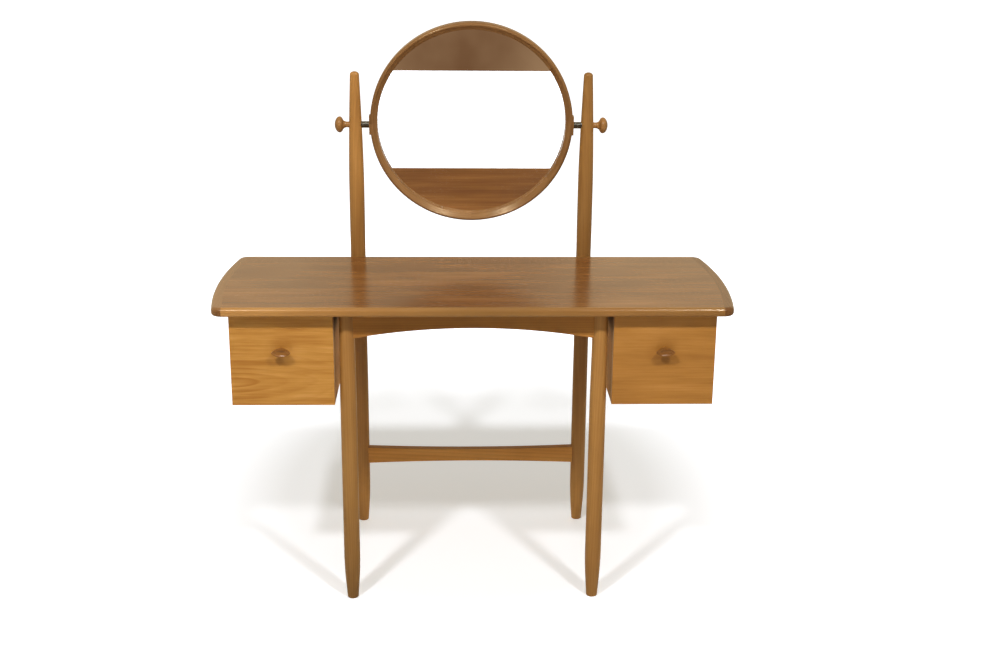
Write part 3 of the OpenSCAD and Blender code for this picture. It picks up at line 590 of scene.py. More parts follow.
@dataclass(frozen=True)
class TurnedRingFinish(WoodFinish):
    """The wood of the mirror's ring, whose grain follows the segments that it is glued up from."""

    SEGMENT_SHIFT = 3.7

    def placed(self, mix: Recipe) -> Socket:
        """The place on the ring: length along the segment, depth and radius, in metres.

        Args:
            mix: The material's recipe.

        Returns:
            The place as a vector.
        """
        low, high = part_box("mirror_ring")
        centred = mix.vectors("SUBTRACT", mix.object_place(), (low + high) / 2)
        upright = mix.feed(mix.put("Mapping"), Vector=centred, Rotation=(-Mirror.tilt, 0.0, 0.0))
        axes = mix.axes(upright.outputs[0])
        angle = mix.calc("ARCTAN2", axes["X"], axes["Z"])
        segment = 2 * math.pi / Mirror.segments
        number = mix.calc("FLOOR", mix.calc("DIVIDE", mix.calc("ADD", angle, segment / 4), segment))
        along = mix.calc("ADD", mix.times(angle, Mirror.ring_radius),
                        mix.times(number, self.SEGMENT_SHIFT))
        radius = mix.radius(axes["X"], axes["Z"])
        return mix.feed(mix.put("CombineXYZ"), X=along, Y=axes["Y"], Z=radius).outputs[0]

    def with_ends(self, mix: Recipe, colour: Socket) -> Socket:
        """The colour as it is, because the segments show no end grain."""
        return colour


@dataclass(frozen=True)
class MetalFinish(Finish):
    """A metal surface with turning lines and a slightly cloudy tone."""

    CLOUD_SPAN = (0.35, 0.65)
    LINE_SPAN = (0.2, 0.8)
    SMOOTHER = 0.8
    ROUGHER = 1.25
    EDGE_WIDTH = 0.0006
    EDGE_POLISH = 0.08

    colour: Colour
    shade: Colour
    roughness: float = 0.3

    def feed_shader(self, mix: Recipe, shader: Node) -> None:
        """Feed the shader with tone, turning lines and polished edges.

        Args:
            mix: The material's recipe.
            shader: The shader.
        """
        place = mix.object_place()
        brushing = mix.feed(mix.put("Group", node_tree=GROUPS.brushing), Place=place).outputs
        wear = mix.feed(mix.put("Group", node_tree=GROUPS.wear), Place=place, Edge_Width=self.EDGE_WIDTH)
        colour = mix.blend("MIX", mix.span(brushing["Cloud"], *self.CLOUD_SPAN), self.shade, self.colour)
        rough = mix.span(brushing["Lines"], *self.LINE_SPAN, self.roughness * self.SMOOTHER,
                         self.roughness * self.ROUGHER)
        rough = mix.calc("SUBTRACT", rough, mix.times(wear.outputs["Edge"], self.EDGE_POLISH))
        bump = mix.feed(mix.put("Bump"), Height=brushing["Lines"], Strength=0.2, Distance=0.0001)
        mix.feed(shader, Base_Color=colour, Metallic=1.0, Roughness=rough, Normal=bump.outputs[0])


@dataclass(frozen=True)
class SilveredGlass(Finish):
    """The looking glass: silvering behind a clear pane, with a faint haze."""

    TINT_STOPS = (0.35, 0.65)
    HAZE_SPAN = (0.3, 0.8)
    ROUGHNESS = (0.001, 0.0034)

    clear: Colour
    hazy: Colour

    def feed_shader(self, mix: Recipe, shader: Node) -> None:
        """Feed the shader with tint and haze.

        Args:
            mix: The material's recipe.
            shader: The shader.
        """
        haze = mix.noise(mix.object_place(), scale=9.0, detail=4.0)
        tint = mix.ramp(haze, list(zip(self.TINT_STOPS, (self.hazy, self.clear))))
        rough = mix.span(haze, *self.HAZE_SPAN, *self.ROUGHNESS)
        mix.feed(shader, Base_Color=tint, Metallic=1.0, Roughness=rough)


# Finishes

TEAK_LINE = (0.115, 0.040, 0.010)
VENEER = Tones((0.130, 0.046, 0.012), (0.215, 0.083, 0.021), (0.320, 0.135, 0.037), TEAK_LINE)
LIPPING = Tones((0.30, 0.13, 0.034), (0.41, 0.20, 0.056), (0.52, 0.27, 0.088), (0.17, 0.07, 0.02))
LEFT_LIPPING = Tones((0.17, 0.068, 0.018), (0.235, 0.100, 0.028), (0.30, 0.142, 0.046), TEAK_LINE)
RIGHT_LIPPING = Tones((0.130, 0.050, 0.0135), (0.186, 0.079, 0.024), (0.243, 0.115, 0.0415), TEAK_LINE)
LEG = Tones((0.325, 0.147, 0.036), (0.445, 0.216, 0.056), (0.55, 0.290, 0.088), (0.20, 0.085, 0.02))
POST = Tones((0.38, 0.172, 0.042), (0.52, 0.252, 0.066), (0.64, 0.340, 0.104), (0.24, 0.10, 0.024))
RAIL = Tones((0.33, 0.135, 0.026), (0.44, 0.190, 0.042), (0.55, 0.255, 0.066), (0.20, 0.08, 0.018))
# The stretcher's tones are the rail wood's made lighter: painted light on the stretcher below the top
STRETCHER = Tones((0.50, 0.215, 0.045), (0.64, 0.295, 0.075), (0.75, 0.385, 0.110), (0.28, 0.12, 0.026))
RING = Tones((0.17, 0.078, 0.026), (0.26, 0.130, 0.047), (0.37, 0.197, 0.080), TEAK_LINE)
KNOB = Tones((0.25, 0.11, 0.028), (0.36, 0.170, 0.048), (0.47, 0.24, 0.078), (0.17, 0.066, 0.013))
PULL = Tones((0.185, 0.069, 0.0115), (0.263, 0.103, 0.0185), (0.36, 0.157, 0.034), (0.09, 0.030, 0.007))
LEFT_VENEER = Tones((0.41, 0.175, 0.031), (0.52, 0.250, 0.052), (0.62, 0.32, 0.086), (0.34, 0.12, 0.016))
RIGHT_VENEER = Tones((0.33, 0.138, 0.026), (0.415, 0.184, 0.037), (0.485, 0.226, 0.054), (0.27, 0.1, 0.016))
CASE = Tones((0.43, 0.207, 0.060), (0.60, 0.298, 0.098), (0.73, 0.387, 0.142), (0.25, 0.105, 0.031))
OAK = Tones((0.42, 0.27, 0.125), (0.53, 0.36, 0.185), (0.63, 0.46, 0.26), (0.30, 0.18, 0.08))
PLY = Tones((0.33, 0.21, 0.11), (0.42, 0.28, 0.155), (0.50, 0.35, 0.21), (0.26, 0.16, 0.08))

TOP_VENEER = WoodFinish("teak_top_veneer", "top_veneer", VENEER, grain=Grain.X_FACING_Z,
                        centre=(0.1, 0.05, 0.72), pith_depth=0.012, taper=0.02, ring_width=0.014,
                        wander=0.012, tone_scale=1.6, streak_scale=0.6, ring_strength=0.18,
                        streak_strength=0.6, pore_strength=0.1, roughness=0.2, specular=0.5, bump=0.05)
BACK_LIPPING = WoodFinish("teak_back_lipping", "teak_lipping", LIPPING, pith_depth=0.3, ring_width=0.004,
                          ring_strength=0.2, roughness=0.24, bump=0.08)
# The front lipping carries painted highlight and shade along its length
FRONT_LIPPING = replace(BACK_LIPPING, name="teak_front_lipping", roughness=0.22, specular=0.5,
                        shine=(1.0, 0.86, 0.68),
                        painted_light=((-0.56, 1.10), (-0.30, 1.0), (-0.05, 0.68), (0.10, 0.68), (0.30, 0.84),
                              (0.56, 0.68)))
LEFT_END = WoodFinish("teak_end_lipping", "teak_lipping", LEFT_LIPPING, grain=Grain.Y_FACING_Z,
                      pith_depth=0.3, ring_width=0.004, ring_strength=0.25, streak_strength=0.6,
                      roughness=0.2, specular=0.5, bump=0.06, end_grain=0.6)
RIGHT_END = replace(LEFT_END, name="teak_end_lipping_right", tones=RIGHT_LIPPING, specular=0.32,
                    end_grain=0.1)
# The legs and posts carry painted light and shade along their length
LEFT_LEG = WoodFinish("teak_leg_front_left", "teak_turned", LEG, grain=Grain.Z_FACING_Y,
                      centre=(0.02, 0.03, 0.0), pith_depth=0.06, taper=0.03, ring_width=0.005,
                      ring_strength=0.3, roughness=0.34, specular=0.25,
                      painted_light=((0.0, 0.46), (0.1, 0.58), (0.28, 0.75), (0.45, 0.8), (0.6, 0.97), (0.7, 0.97)))
RIGHT_LEG = replace(LEFT_LEG, name="teak_leg_front_right", centre=(0.01, 0.05, 0.0), pith_depth=0.05,
                    taper=0.04, painted_light=((0.0, 0.74), (0.15, 0.86), (0.45, 0.96), (0.62, 1.0), (0.70, 1.0)))
LEFT_POST = replace(LEFT_LEG, name="teak_leg_rear_left", tones=POST,
                    painted_light=((0.0, 0.92), (0.15, 0.92), (0.30, 0.86), (0.42, 0.70), (0.71, 0.62), (0.78, 0.70),
                          (0.95, 0.92), (1.17, 1.0)))
RIGHT_POST = replace(LEFT_POST, name="teak_leg_rear_right", centre=(0.03, 0.04, 0.0), pith_depth=0.05,
                     painted_light=((0.0, 0.82), (0.15, 0.84), (0.42, 0.64), (0.71, 0.52), (0.85, 0.60),
                           (1.0, 0.70), (1.17, 0.66)))
SIDE_RAIL_WOOD = WoodFinish("teak_side_rail", "teak_frame", RAIL, grain=Grain.Y_FACING_X, pith_depth=0.08,
                            taper=0.04, roughness=0.4, specular=0.12)
# The aprons carry painted shade in their middle
FRAME_WOOD = replace(SIDE_RAIL_WOOD, name="teak_rail", grain=Grain.X_FACING_Y,
                     painted_light=((-0.28, 1.0), (-0.18, 0.84), (0.0, 0.76), (0.18, 0.84), (0.28, 1.0)))
# The stretcher's upper face is darkened by painted shade
STRETCHER_WOOD = replace(SIDE_RAIL_WOOD, name="teak_stretcher", tones=STRETCHER, grain=Grain.X_FACING_Y,
                         specular=0.1, painted_top_shade=0.42)
RING_WOOD = TurnedRingFinish("teak_mirror_ring", "teak_ring", RING, pith_depth=0.12, ring_width=0.005,
                             roughness=0.25, specular=0.235, shine=(1.0, 0.82, 0.54), streak_strength=0.5,
                             wear=0.15)
KNOB_WOOD = WoodFinish("teak_turned_knob", "teak_turned", KNOB, pith_depth=0.02, ring_width=0.003,
                       ring_strength=0.4, roughness=0.32, centre=(0.0, 0.24, 1.06))
PULL_WOOD = WoodFinish("teak_carved_pull", "teak_pull", PULL, pith_depth=0.03, ring_width=0.003,
                       ring_strength=0.4, roughness=0.3, specular=0.4, centre=(0.0, -0.28, 0.6))
RIGHT_FRONT = WoodFinish("teak_front_veneer_right", "front_veneer", RIGHT_VENEER,
                         centre=(0.5, -0.2306, 0.70), taper=0.03, ring_width=0.022, wander=0.012,
                         tone_scale=2.2, streak_scale=1.5, ring_strength=0.10, streak_strength=0.65,
                         roughness=0.36, specular=0.22, wear=0.1, dark_patch_at=(0.4223, -0.2306, 0.612))
LEFT_FRONT = replace(RIGHT_FRONT, name="teak_front_veneer_left", tones=LEFT_VENEER,
                     centre=(-0.536, -0.2306, 0.540), pith_depth=0.0, taper=0.21, ring_width=0.013,
                     wander=0.003, tone_scale=3.0, streak_scale=1.0, ring_strength=1.0, ring_reach=0.05,
                     streak_strength=0.85, dark_patch_at=(-0.4223, -0.2306, 0.612))
CASE_BACK = WoodFinish("teak_case_back", "case_veneer", CASE, pith_depth=0.03, ring_width=0.010,
                       ring_strength=0.2, roughness=0.5, specular=0.1)
CASE_BOARD = replace(CASE_BACK, name="teak_case_board", grain=Grain.Y_FACING_Z)
# The case walls are darkened by painted shade in narrow gaps
CASE_WALL = replace(CASE_BACK, name="teak_case_wall", grain=Grain.Y_FACING_X, specular=0.035, painted_gap_shade=0.85)
OAK_BACK = WoodFinish("oak_drawer_back", "drawer_oak", OAK, ring_width=0.005, pith_depth=0.2,
                      pore_strength=0.45, roughness=0.5, bump=0.5)
OAK_SIDE = replace(OAK_BACK, name="oak_drawer_side", grain=Grain.Y_FACING_X)
OAK_BOARD = replace(OAK_BACK, name="oak_board", grain=Grain.Y_FACING_Z)
PLY_FLAT = WoodFinish("plywood_drawer_bottom", "backing_board", PLY, grain=Grain.X_FACING_Z,
                      ring_width=0.02, pith_depth=0.02, taper=0.03, roughness=0.55)
PLY_DISC = replace(PLY_FLAT, name="plywood_mirror_back", grain=Grain.X_FACING_Y, centre=(0.0, 0.2, 1.0))
DARK_STEEL = MetalFinish("blackened_steel", "dark_steel", (0.155, 0.158, 0.152), (0.088, 0.091, 0.088),
                         roughness=0.24)
SCREW_STEEL = MetalFinish("zinc_plated_steel", "screw_steel", (0.50, 0.50, 0.48), (0.38, 0.38, 0.37),
                          roughness=0.34)
BRASS = MetalFinish("plain_brass", "clip_brass", (0.62, 0.44, 0.17), (0.48, 0.32, 0.11))
GLASS = SilveredGlass("silvered_glass", "mirror_glass", (0.985, 0.99, 0.985), (0.95545, 0.9603, 0.95545))


# Working with meshes


def only(piece: Piece) -> None:
    """Select one piece and nothing else.

    Args:
        piece: The piece.
    """
    bpy.ops.object.select_all(action="DESELECT")
    piece.select_set(True)
    bpy.context.view_layer.objects.active = piece


def only_plain(piece: Piece) -> None:
    """Select one piece and clear the normals that came with its mesh.

    Args:
        piece: The piece.
    """
    only(piece)
    if piece.data.has_custom_normals:
        bpy.ops.mesh.customdata_custom_splitnormals_clear()


def apply_all(piece: Piece) -> None:
    """Apply every modifier of a piece.

    Args:
        piece: The piece.
    """
    only(piece)
    for modifier in list(piece.modifiers):
        bpy.ops.object.modifier_apply(modifier=modifier.name)


def shade(piece: Piece, crisp: float = CRISP) -> None:
    """Shade a piece smooth between crisp edges, with its flat faces flat.

    Args:
        piece: The piece.
        crisp: The angle in degrees from which an edge is crisp.
    """
    only_plain(piece)
    bpy.ops.object.shade_smooth_by_angle(angle=math.radians(crisp))
    flat = piece.modifiers.new("flat_faces", "WEIGHTED_NORMAL")
    flat.keep_sharp = True
    apply_all(piece)


def cut_away(piece: Piece, cutter: Piece, crisp: float = CRISP) -> None:
    """Take a cutter's solid out of a piece; the cutter goes.

    Args:
        piece: The piece.
        cutter: The solid.
        crisp: The angle in degrees from which an edge is crisp.
    """
    cut = piece.modifiers.new("cut", "BOOLEAN")
    cut.object = cutter
    cut.solver = "EXACT"
    apply_all(piece)
    bpy.data.objects.remove(cutter)
    shade(piece, crisp)


def softened(node: str, edge: float) -> Piece:
    """A merged copy of a CAD node with eased edges, which stands for the node.

    Args:
        node: The node.
        edge: The width of the eased edge, in metres; none at 0.

    Returns:
        The new piece.
    """
    source = frame["nodes"][node]
    piece = bpy.data.objects.new(node + "_finished", source.data.copy())
    bpy.context.scene.collection.objects.link(piece)
    only_plain(piece)
    bpy.ops.object.mode_set(mode="EDIT")
    bpy.ops.mesh.select_all(action="SELECT")
    bpy.ops.mesh.remove_doubles(threshold=MERGE)
    bpy.ops.mesh.dissolve_limited(angle_limit=FLAT)
    bpy.ops.object.mode_set(mode="OBJECT")
    if edge:
        bevel = piece.modifiers.new("eased_edges", "BEVEL")
        bevel.width = edge
        bevel.segments = EDGE_STEPS
        bevel.limit_method = "ANGLE"
        bevel.angle_limit = math.radians(CRISP)
        bevel.miter_outer = "MITER_ARC"
        apply_all(piece)
    shade(piece)
    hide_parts(node)
    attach(piece, source["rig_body"])
    return piece


def loose_parts(piece: Piece) -> list[list[Vector]]:
    """The points of each separate solid of a piece.

    Args:
        piece: The piece.

    Returns:
        The points, solid by solid, in the order of the mesh.
    """
    leader = list(range(len(piece.data.vertices)))

    def lead(point: int) -> int:
        """The point that stands for a point's solid.

        Args:
            point: The point's number.

        Returns:
            The number of the point that leads its solid.
        """
        while leader[point] != point:
            leader[point] = leader[leader[point]]
            point = leader[point]
        return point

    for edge in piece.data.edges:
        first, second = (lead(point) for point in edge.vertices)
        leader[max(first, second)] = min(first, second)
    parts: dict[int, list[Vector]] = {}
    for point, vertex in enumerate(piece.data.vertices):
        parts.setdefault(lead(point), []).append(vertex.co.copy())
    return list(parts.values())


@dataclass(frozen=True)
class ScrewSlot:
    """The slot in a screw's head; the cutter's length is its overreach times the head's radius."""

    outward: Vector
    width: float = 0.001
    depth: float = 0.0008
    overreach: float = 2.6
    turn: float = math.radians(67)

    def cutter(self, points: list[Vector], number: int) -> Piece:
        """A bar where the slot of one screw is.

        Args:
            points: The screw's points.
            number: The screw's place in its row, which sets how far it is turned.

        Returns:
            The bar.
        """
        top = max(point.dot(self.outward) for point in points)
        rim = [point for point in points if top - point.dot(self.outward) < MERGE]
        centre = sum(rim, Vector()) / len(rim)
        length = self.overreach * max((point - centre).length for point in rim)
        turn = self.outward.to_track_quat("Z", "Y") @ Quaternion((0.0, 0.0, 1.0), self.turn * number)
        bpy.ops.object.select_all(action="DESELECT")
        bpy.ops.mesh.primitive_cube_add(size=1.0, location=centre, rotation=turn.to_euler(),
                                        scale=(length, self.width, 2 * self.depth))
        return bpy.context.active_object

    def cut(self, piece: Piece) -> None:
        """Cut the slot into every screw of a piece.

        Args:
            piece: The screws.
        """
        bars = [self.cutter(points, number) for number, points in enumerate(loose_parts(piece))]
        only(bars[0])
        for bar in bars[1:]:
            bar.select_set(True)
        if len(bars) > 1:
            bpy.ops.object.join()
        cut_away(piece, bpy.context.active_object)


# Sub-assemblies


@dataclass
class Assembly:
    """A sub-assembly: it dresses its own nodes and makes its own fine pieces."""

    pieces: dict[str, Piece] = field(default_factory=dict)

    def finish(self, finish: Finish, edge: float, *nodes: str) -> None:
        """Ease and dress CAD nodes.

        Args:
            finish: Their finish.
            edge: The width of their eased edges.
            nodes: The nodes.
        """
        for node in nodes:
            piece = softened(node, edge)
            piece.data.materials.clear()
            piece.data.materials.append(finish.material())
            self.pieces[node] = piece

    def build(self) -> None:
        """Make and dress the pieces."""
        raise NotImplementedError

    def report(self) -> None:
        """Log each piece."""
        for piece in self.pieces.values():
            log.info("%s: %s, %d faces", type(self).__name__, piece.name, len(piece.data.polygons))


@dataclass
class TableTop(Assembly):
    """The veneered top with its lippings and the screws under it."""

    def build(self) -> None:
        """Dress the board and its four lippings, and slot the screws."""
        self.finish(TOP_VENEER, 0.0, "top_panel")
        self.finish(FRONT_LIPPING, 0.0, "top_lipping_front")
        self.finish(BACK_LIPPING, 0.0, "top_lipping_back")
        self.finish(LEFT_END, 0.0, "top_lipping_left")
        self.finish(RIGHT_END, 0.0, "top_lipping_right")
        screws = ("top_screws", "case_screws")
        self.finish(SCREW_STEEL, 0.0, *screws)
        for node in screws:
            ScrewSlot(DOWNWARD).cut(self.pieces[node])


@dataclass
class Stand(Assembly):
    """Legs, rails, stretcher and corner blocks."""

    eased: float = 0.0012

    def build(self) -> None:
        """Dress the legs and rails."""
        self.finish(FRAME_WOOD, self.eased, "front_apron", "rear_apron")
        self.finish(STRETCHER_WOOD, self.eased, "rear_stretcher")
        self.finish(OAK_BOARD, self.eased, "corner_blocks")
        for side, leg, post in ((Side.LEFT, LEFT_LEG, LEFT_POST), (Side.RIGHT, RIGHT_LEG, RIGHT_POST)):
            self.finish(leg, 0.0, "front_leg_" + side.value)
            self.finish(post, 0.0, "rear_leg_" + side.value)
            self.finish(SIDE_RAIL_WOOD, self.eased, "side_rail_" + side.value)


@dataclass
class DrawerCase(Assembly):
    """One hanging case with its runners."""

    side: Side = Side.LEFT
    eased: float = 0.0008

    def build(self) -> None:
        """Dress the walls, boards and runners."""
        name = f"case_{self.side.value}_"
        self.finish(CASE_WALL, self.eased, name + "outer_wall", name + "inner_wall")
        self.finish(CASE_BACK, self.eased, name + "back")
        self.finish(CASE_BOARD, self.eased, name + "bottom")
        self.finish(OAK_BOARD, self.eased, name + "top_board")
        self.finish(OAK_SIDE, self.eased, "drawer_runners_" + self.side.value)


@dataclass
class Drawer(Assembly):
    """One drawer with its pull."""

    side: Side = Side.LEFT
    eased: float = 0.0008
    front_eased: float = 0.001
    pull_eased: float = 0.0007

    def build(self) -> None:
        """Dress the boards and the pull, and slot its screw."""
        name = f"drawer_{self.side.value}_"
        front = LEFT_FRONT if self.side is Side.LEFT else RIGHT_FRONT
        self.finish(front, self.front_eased, name + "front")
        self.finish(OAK_SIDE, self.eased, name + "outer_side", name + "inner_side")
        self.finish(OAK_BACK, self.eased, name + "back")
        self.finish(PLY_FLAT, 0.0, name + "bottom")
        self.finish(PULL_WOOD, self.pull_eased, name + "pull")
        self.finish(SCREW_STEEL, FITTING_EDGE, name + "pull_screw")
        ScrewSlot(BACKWARD).cut(self.pieces[name + "pull_screw"])


@dataclass
class Mirror(Assembly):
    """The round looking glass with its ring, clips, studs and spacers."""

    tilt: float = math.radians(6.4)
    segments: int = 5
    ring_radius: float = 0.235
    backing_eased: float = 0.0004
    spacer_eased: float = 0.0005
    clip_slot: float = 0.0007
    chamfer_radius: float = 0.2333
    chamfer_ahead: float = 0.01765
    chamfer_depth: float = 0.010
    chamfer_slope: float = math.radians(34.7)
    chamfer_faces: int = 360
    chamfer_crisp: float = 20.0

    def build(self) -> None:
        """Dress the ring, the glass and the fittings, slot the screws and cut the chamfer."""
        self.finish(RING_WOOD, 0.0, "mirror_ring")
        self.finish(GLASS, 0.0, "mirror_glass")
        self.finish(PLY_DISC, self.backing_eased, "mirror_backing")
        self.finish(BRASS, FITTING_EDGE, "mirror_clips")
        self.finish(SCREW_STEEL, FITTING_EDGE, "mirror_clip_screws")
        for side in Side:
            self.finish(SCREW_STEEL, FITTING_EDGE, "pivot_stud_" + side.value)
            self.finish(DARK_STEEL, self.spacer_eased, "spacer_tube_" + side.value)
        backward = Vector((0.0, math.cos(self.tilt), math.sin(self.tilt)))
        ScrewSlot(backward, width=self.clip_slot).cut(self.pieces["mirror_clip_screws"])
        self.chamfer(backward)

    def chamfer(self, backward: Vector) -> None:
        """Cut the wide chamfer that slopes from the ring's front in to its lip.

        Args:
            backward: The way from the ring's front to its back.
        """
        low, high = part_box("mirror_glass")
        centre = Vector((0.0, (low.y + high.y) / 2, (low.z + high.z) / 2)) - self.chamfer_ahead * backward
        spread = self.chamfer_depth / math.tan(self.chamfer_slope)
        bpy.ops.object.select_all(action="DESELECT")
        bpy.ops.mesh.primitive_cone_add(
            vertices=self.chamfer_faces, radius1=self.chamfer_radius + spread,
            radius2=self.chamfer_radius - spread, depth=2 * self.chamfer_depth, location=centre,
            rotation=backward.to_track_quat("Z", "Y").to_euler())
        cut_away(self.pieces["mirror_ring"], bpy.context.active_object, self.chamfer_crisp)


@dataclass
class Knob(Assembly):
    """One turned knob with its brass bush."""

    side: Side = Side.LEFT

    def build(self) -> None:
        """Dress the knob and the bush."""
        self.finish(KNOB_WOOD, 0.0, "knob_" + self.side.value)
        self.finish(BRASS, FITTING_EDGE, "knob_bush_" + self.side.value)


@dataclass
class Studio:
    """Pale floor and backdrop, the dim side of the room, lamps, world and camera."""

    # The camera, whose eye is measured from the floor under the top's front edge
    eye: Triple = (-0.05062, -2.87557, 1.57607)
    yaw: float = 0.0348329
    pitch: float = 0.3038472
    roll: float = 0.0093097
    focal_pixels: float = 1386.343
    sight: float = 200.0
    # The lamps, in metres and watts, and the world's light
    lamp_ahead: float = 2.3
    lamp_height: float = 3.62
    lamp_aside: float = 1.4
    lamp_size: float = 0.34
    lamp_colour: Colour = (1.0, 0.985, 0.955)
    lamp_aim: Triple = (0.0, 0.0, 0.7)
    left_power: float = 86.4
    right_power: float = 73.6
    back_place: Triple = (0.0, 3.4, 1.0)
    back_size: float = 1.6
    back_power: float = 26.0
    world_colour: Colour = (1.0, 0.975, 0.93)
    world_strength: float = 0.30
    # The floor, and where the table's shade lies on it
    floor_size: float = 90.0
    floor_colour: Colour = (0.80, 0.77, 0.72)
    shown_colour: Colour = (0.757, 0.79, 0.88)
    floor_glow: Colour = (0.345, 0.325, 0.265)
    shade_centre: Triple = (0.0, 0.45, 0.0)
    shade_reach: Triple = (1.0, 1.35, 1.0)
    shade_edge: Span = (0.5, 1.0)
    # What lacquer shows of the floor and the world, with the table's shade low behind its middle
    mirrored_colour: Colour = (1.0, 0.80, 0.50)
    mirrored_floor: float = 0.75
    mirrored_world: float = 0.92
    mirrored_shade: float = 0.506
    shade_beside: Span = (0.055, 0.105)
    shade_behind: Span = (0.5, 0.8)
    shade_above: Span = (0.36, 0.46)
    # The dim side of the room
    room_start: float = -3.06
    room_end: float = -9.0
    room_width: float = 17.82
    room_height: float = 7.0
    room_rise: float = 0.004
    room_boards: Triple = (3.0, 0.9, 0.9)
    room_middle: float = 0.55
    room_tones: Span = (-0.22, 0.20)
    room_figure: Span = (0.6, 0.2)
    room_stops: Span = (0.25, 0.75)
    room_dark: Colour = (0.165, 0.080, 0.036)
    room_light: Colour = (0.33, 0.20, 0.105)

    def build(self) -> None:
        """Set up the whole studio."""
        self.camera()
        self.floor()
        self.dim_room()
        self.lamps()
        self.world()

    @cached_property
    def front(self) -> float:
        """Where the top's front edge is, from which the camera and the lamps are measured."""
        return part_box("top_lipping_front")[0].y

    def camera(self) -> None:
        """Create the camera at the photograph's angle."""
        forward = Vector((math.sin(self.yaw) * math.cos(self.pitch),
                          math.cos(self.yaw) * math.cos(self.pitch), -math.sin(self.pitch)))
        right = Vector((math.cos(self.yaw), -math.sin(self.yaw), 0.0))
        up = right.cross(forward)
        right_rolled = math.cos(self.roll) * right + math.sin(self.roll) * up
        up_rolled = -math.sin(self.roll) * right + math.cos(self.roll) * up
        data = bpy.data.cameras.new("camera")
        data.sensor_width = SENSOR_WIDTH
        data.sensor_fit = "HORIZONTAL"
        data.lens = self.focal_pixels * SENSOR_WIDTH / PHOTO_WIDTH
        data.clip_end = self.sight
        camera = bpy.data.objects.new("camera", data)
        turn = Matrix((right_rolled, up_rolled, -forward)).transposed()
        place = Vector(self.eye) + Vector((0.0, self.front, 0.0))
        camera.matrix_world = Matrix.Translation(place) @ turn.to_4x4()
        bpy.context.scene.collection.objects.link(camera)
        bpy.context.scene.camera = camera

    @staticmethod
    def blank(block: bpy.types.ID) -> Recipe:
        """An empty node tree in a material or world.

        Args:
            block: The material or world.

        Returns:
            The recipe for its tree.
        """
        block.use_nodes = True
        block.node_tree.nodes.clear()
        return Recipe(block.node_tree)

    def paper(self) -> bpy.types.Material:
        """The floor's paper, which is seen white away from the table's shadow.

        Returns:
            The material.
        """
        material = bpy.data.materials.new("studio_floor_paper")
        mix = self.blank(material)
        path = mix.put("LightPath").outputs
        straight = mix.calc("MAXIMUM", path["Is Camera Ray"], path["Is Singular Ray"])
        from_shade = mix.put("Mapping", vector_type="TEXTURE")
        mix.feed(from_shade, Vector=mix.object_place(), Location=self.shade_centre, Scale=self.shade_reach)
        away = mix.vectors("LENGTH", from_shade.outputs[0], gives="Value")
        glow = mix.blend("MIX", mix.span(away, *self.shade_edge), self.floor_glow, WHITE)
        lit = mix.feed(mix.put("BsdfDiffuse"), Color=self.floor_colour)
        shaded = mix.feed(mix.put("BsdfDiffuse"), Color=self.shown_colour)
        light = mix.feed(mix.put("Emission"), Color=glow, Strength=1.0)
        both = mix.fill(mix.put("AddShader"), shaded.outputs[0], light.outputs[0])
        cream = mix.feed(mix.put("Emission"), Color=self.mirrored_colour, Strength=self.mirrored_floor)
        unseen = mix.either(path["Is Glossy Ray"], lit, cream)
        mix.feed(mix.put("OutputMaterial"), Surface=mix.either(straight, unseen, both).outputs[0])
        return material

    @staticmethod
    def sheet(name: str, centre: Triple, size: Span, material: bpy.types.Material,
              tilt: float = 0.0) -> Piece:
        """A rectangle for the studio.

        Args:
            name: The rectangle's name.
            centre: Its middle.
            size: Its width and length.
            material: Its material.
            tilt: How far it is turned up about the X axis.

        Returns:
            The rectangle.
        """
        bpy.ops.object.select_all(action="DESELECT")
        bpy.ops.mesh.primitive_plane_add(size=1.0)
        sheet = bpy.context.active_object
        sheet.name = name
        sheet.scale = (*size, 1.0)
        sheet.rotation_euler = (tilt, 0.0, 0.0)
        sheet.location = centre
        bpy.ops.object.transform_apply(location=True, rotation=True, scale=True)
        sheet.data.materials.append(material)
        return sheet

    def floor(self) -> None:
        """Lay the pale floor."""
        self.sheet("studio_floor", (0.0, 0.0, 0.0), (self.floor_size, self.floor_size), self.paper())

    def dim_room(self) -> None:
        """The dim side of the studio, before the camera, which only shine and the looking glass show."""
        material = bpy.data.materials.new("studio_dim_room")
        mix = self.blank(material)
        place = mix.object_place()
        boards = mix.noise(mix.vectors("MULTIPLY", place, self.room_boards), detail=3.0)
        aside = mix.span(mix.calc("ABSOLUTE", mix.axes(place)["X"]), 0.0, self.room_middle, *self.room_tones)
        tone = mix.calc("ADD", mix.calc("MULTIPLY_ADD", boards, *self.room_figure), aside)
        colour = mix.ramp(tone, list(zip(self.room_stops, (self.room_dark, self.room_light))))
        glow = mix.feed(mix.put("Emission"), Color=colour, Strength=1.0)
        mix.feed(mix.put("OutputMaterial"), Surface=glow.outputs[0])
        middle = (0.0, (self.room_start + self.room_end) / 2, self.room_rise)
        ground = self.sheet("studio_dim_floor", middle, (self.room_width, self.room_start - self.room_end),
                            material)
        wall = self.sheet("studio_dim_wall", (0.0, self.room_end, self.room_height / 2),
                          (self.room_width, self.room_height), material, RIGHT_ANGLE)
        for sheet in (ground, wall):
            sheet.visible_camera = False
            sheet.visible_diffuse = False
            sheet.visible_shadow = False
            sheet.visible_transmission = False

    def lamps(self) -> None:
        """Two lamps, upper left and upper right, before the table, and a broad weak one behind it."""
        ahead = self.front - self.lamp_ahead
        for name, aside, power in (("lamp_left", -self.lamp_aside, self.left_power),
                                   ("lamp_right", self.lamp_aside, self.right_power)):
            self.lamp(name, (aside, ahead, self.lamp_height), self.lamp_size, power)
        back = self.lamp("lamp_behind", self.back_place, self.back_size, self.back_power)
        back.visible_glossy = False

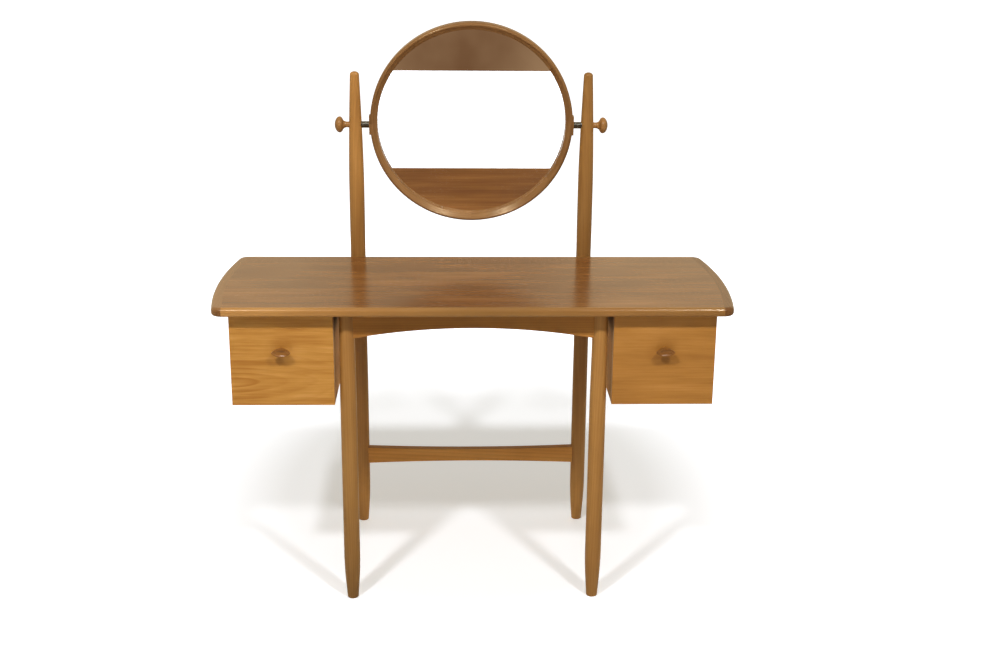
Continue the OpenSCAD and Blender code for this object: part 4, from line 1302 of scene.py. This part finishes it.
    def lamp(self, name: str, place: Triple, size: float, power: float) -> Piece:
        """A round lamp that looks at the table.

        Args:
            name: Its name.
            place: Where it stands.
            size: Its diameter.
            power: Its power in watts.

        Returns:
            The lamp.
        """
        data = bpy.data.lights.new(name, "AREA")
        data.shape = "DISK"
        data.size = size
        data.energy = power
        data.color = self.lamp_colour
        lamp = bpy.data.objects.new(name, data)
        lamp.location = place
        lamp.rotation_euler = (Vector(place) - Vector(self.lamp_aim)).to_track_quat("Z", "Y").to_euler()
        bpy.context.scene.collection.objects.link(lamp)
        return lamp

    def world(self) -> None:
        """A plain world: white where it is seen, cream where lacquer shows it, softer where it lights."""
        world = bpy.data.worlds.new("studio_world")
        bpy.context.scene.world = world
        mix = self.blank(world)
        path = mix.put("LightPath").outputs
        straight = mix.calc("MAXIMUM", path["Is Camera Ray"], path["Is Singular Ray"])
        straight = mix.calc("MAXIMUM", straight, path["Is Transmission Ray"])
        soft = mix.feed(mix.put("Background"), Color=self.world_colour, Strength=self.world_strength)
        cream = mix.feed(mix.put("Background"), Color=self.mirrored_colour, Strength=self.backdrop(mix))
        white = mix.feed(mix.put("Background"), Color=WHITE, Strength=1.0)
        unseen = mix.either(path["Is Glossy Ray"], soft, cream)
        mix.feed(mix.put("OutputWorld"), Surface=mix.either(straight, unseen, white).outputs[0])

    def backdrop(self, mix: Recipe) -> Socket:
        """How bright the lacquer shows the world; the table's own shade lies low behind its middle.

        Args:
            mix: The world's recipe.

        Returns:
            The strength.
        """
        axes = mix.axes(mix.put("TexCoord").outputs["Generated"])
        beside = mix.span(mix.calc("ABSOLUTE", axes["X"]), *self.shade_beside, 1.0, 0.0)
        behind = mix.span(axes["Y"], *self.shade_behind)
        above = mix.span(axes["Z"], *self.shade_above, 1.0, 0.0)
        shade_share = mix.times(mix.times(beside, behind), above)
        return mix.span(shade_share, 0.0, 1.0, self.mirrored_world, self.mirrored_shade)


def main() -> None:
    """Build the sub-assemblies in order, then the studio."""
    logging.basicConfig(level=logging.INFO, format="%(name)s: %(message)s")
    bpy.context.scene.view_settings.view_transform = "Standard"
    assemblies: list[Assembly] = [TableTop(), Stand()]
    for side in Side:
        assemblies += [DrawerCase(side=side), Drawer(side=side)]
    assemblies.append(Mirror())
    assemblies += [Knob(side=side) for side in Side]
    for assembly in assemblies:
        assembly.build()
        assembly.report()
    Studio().build()


if __name__ == "__main__":
    main()
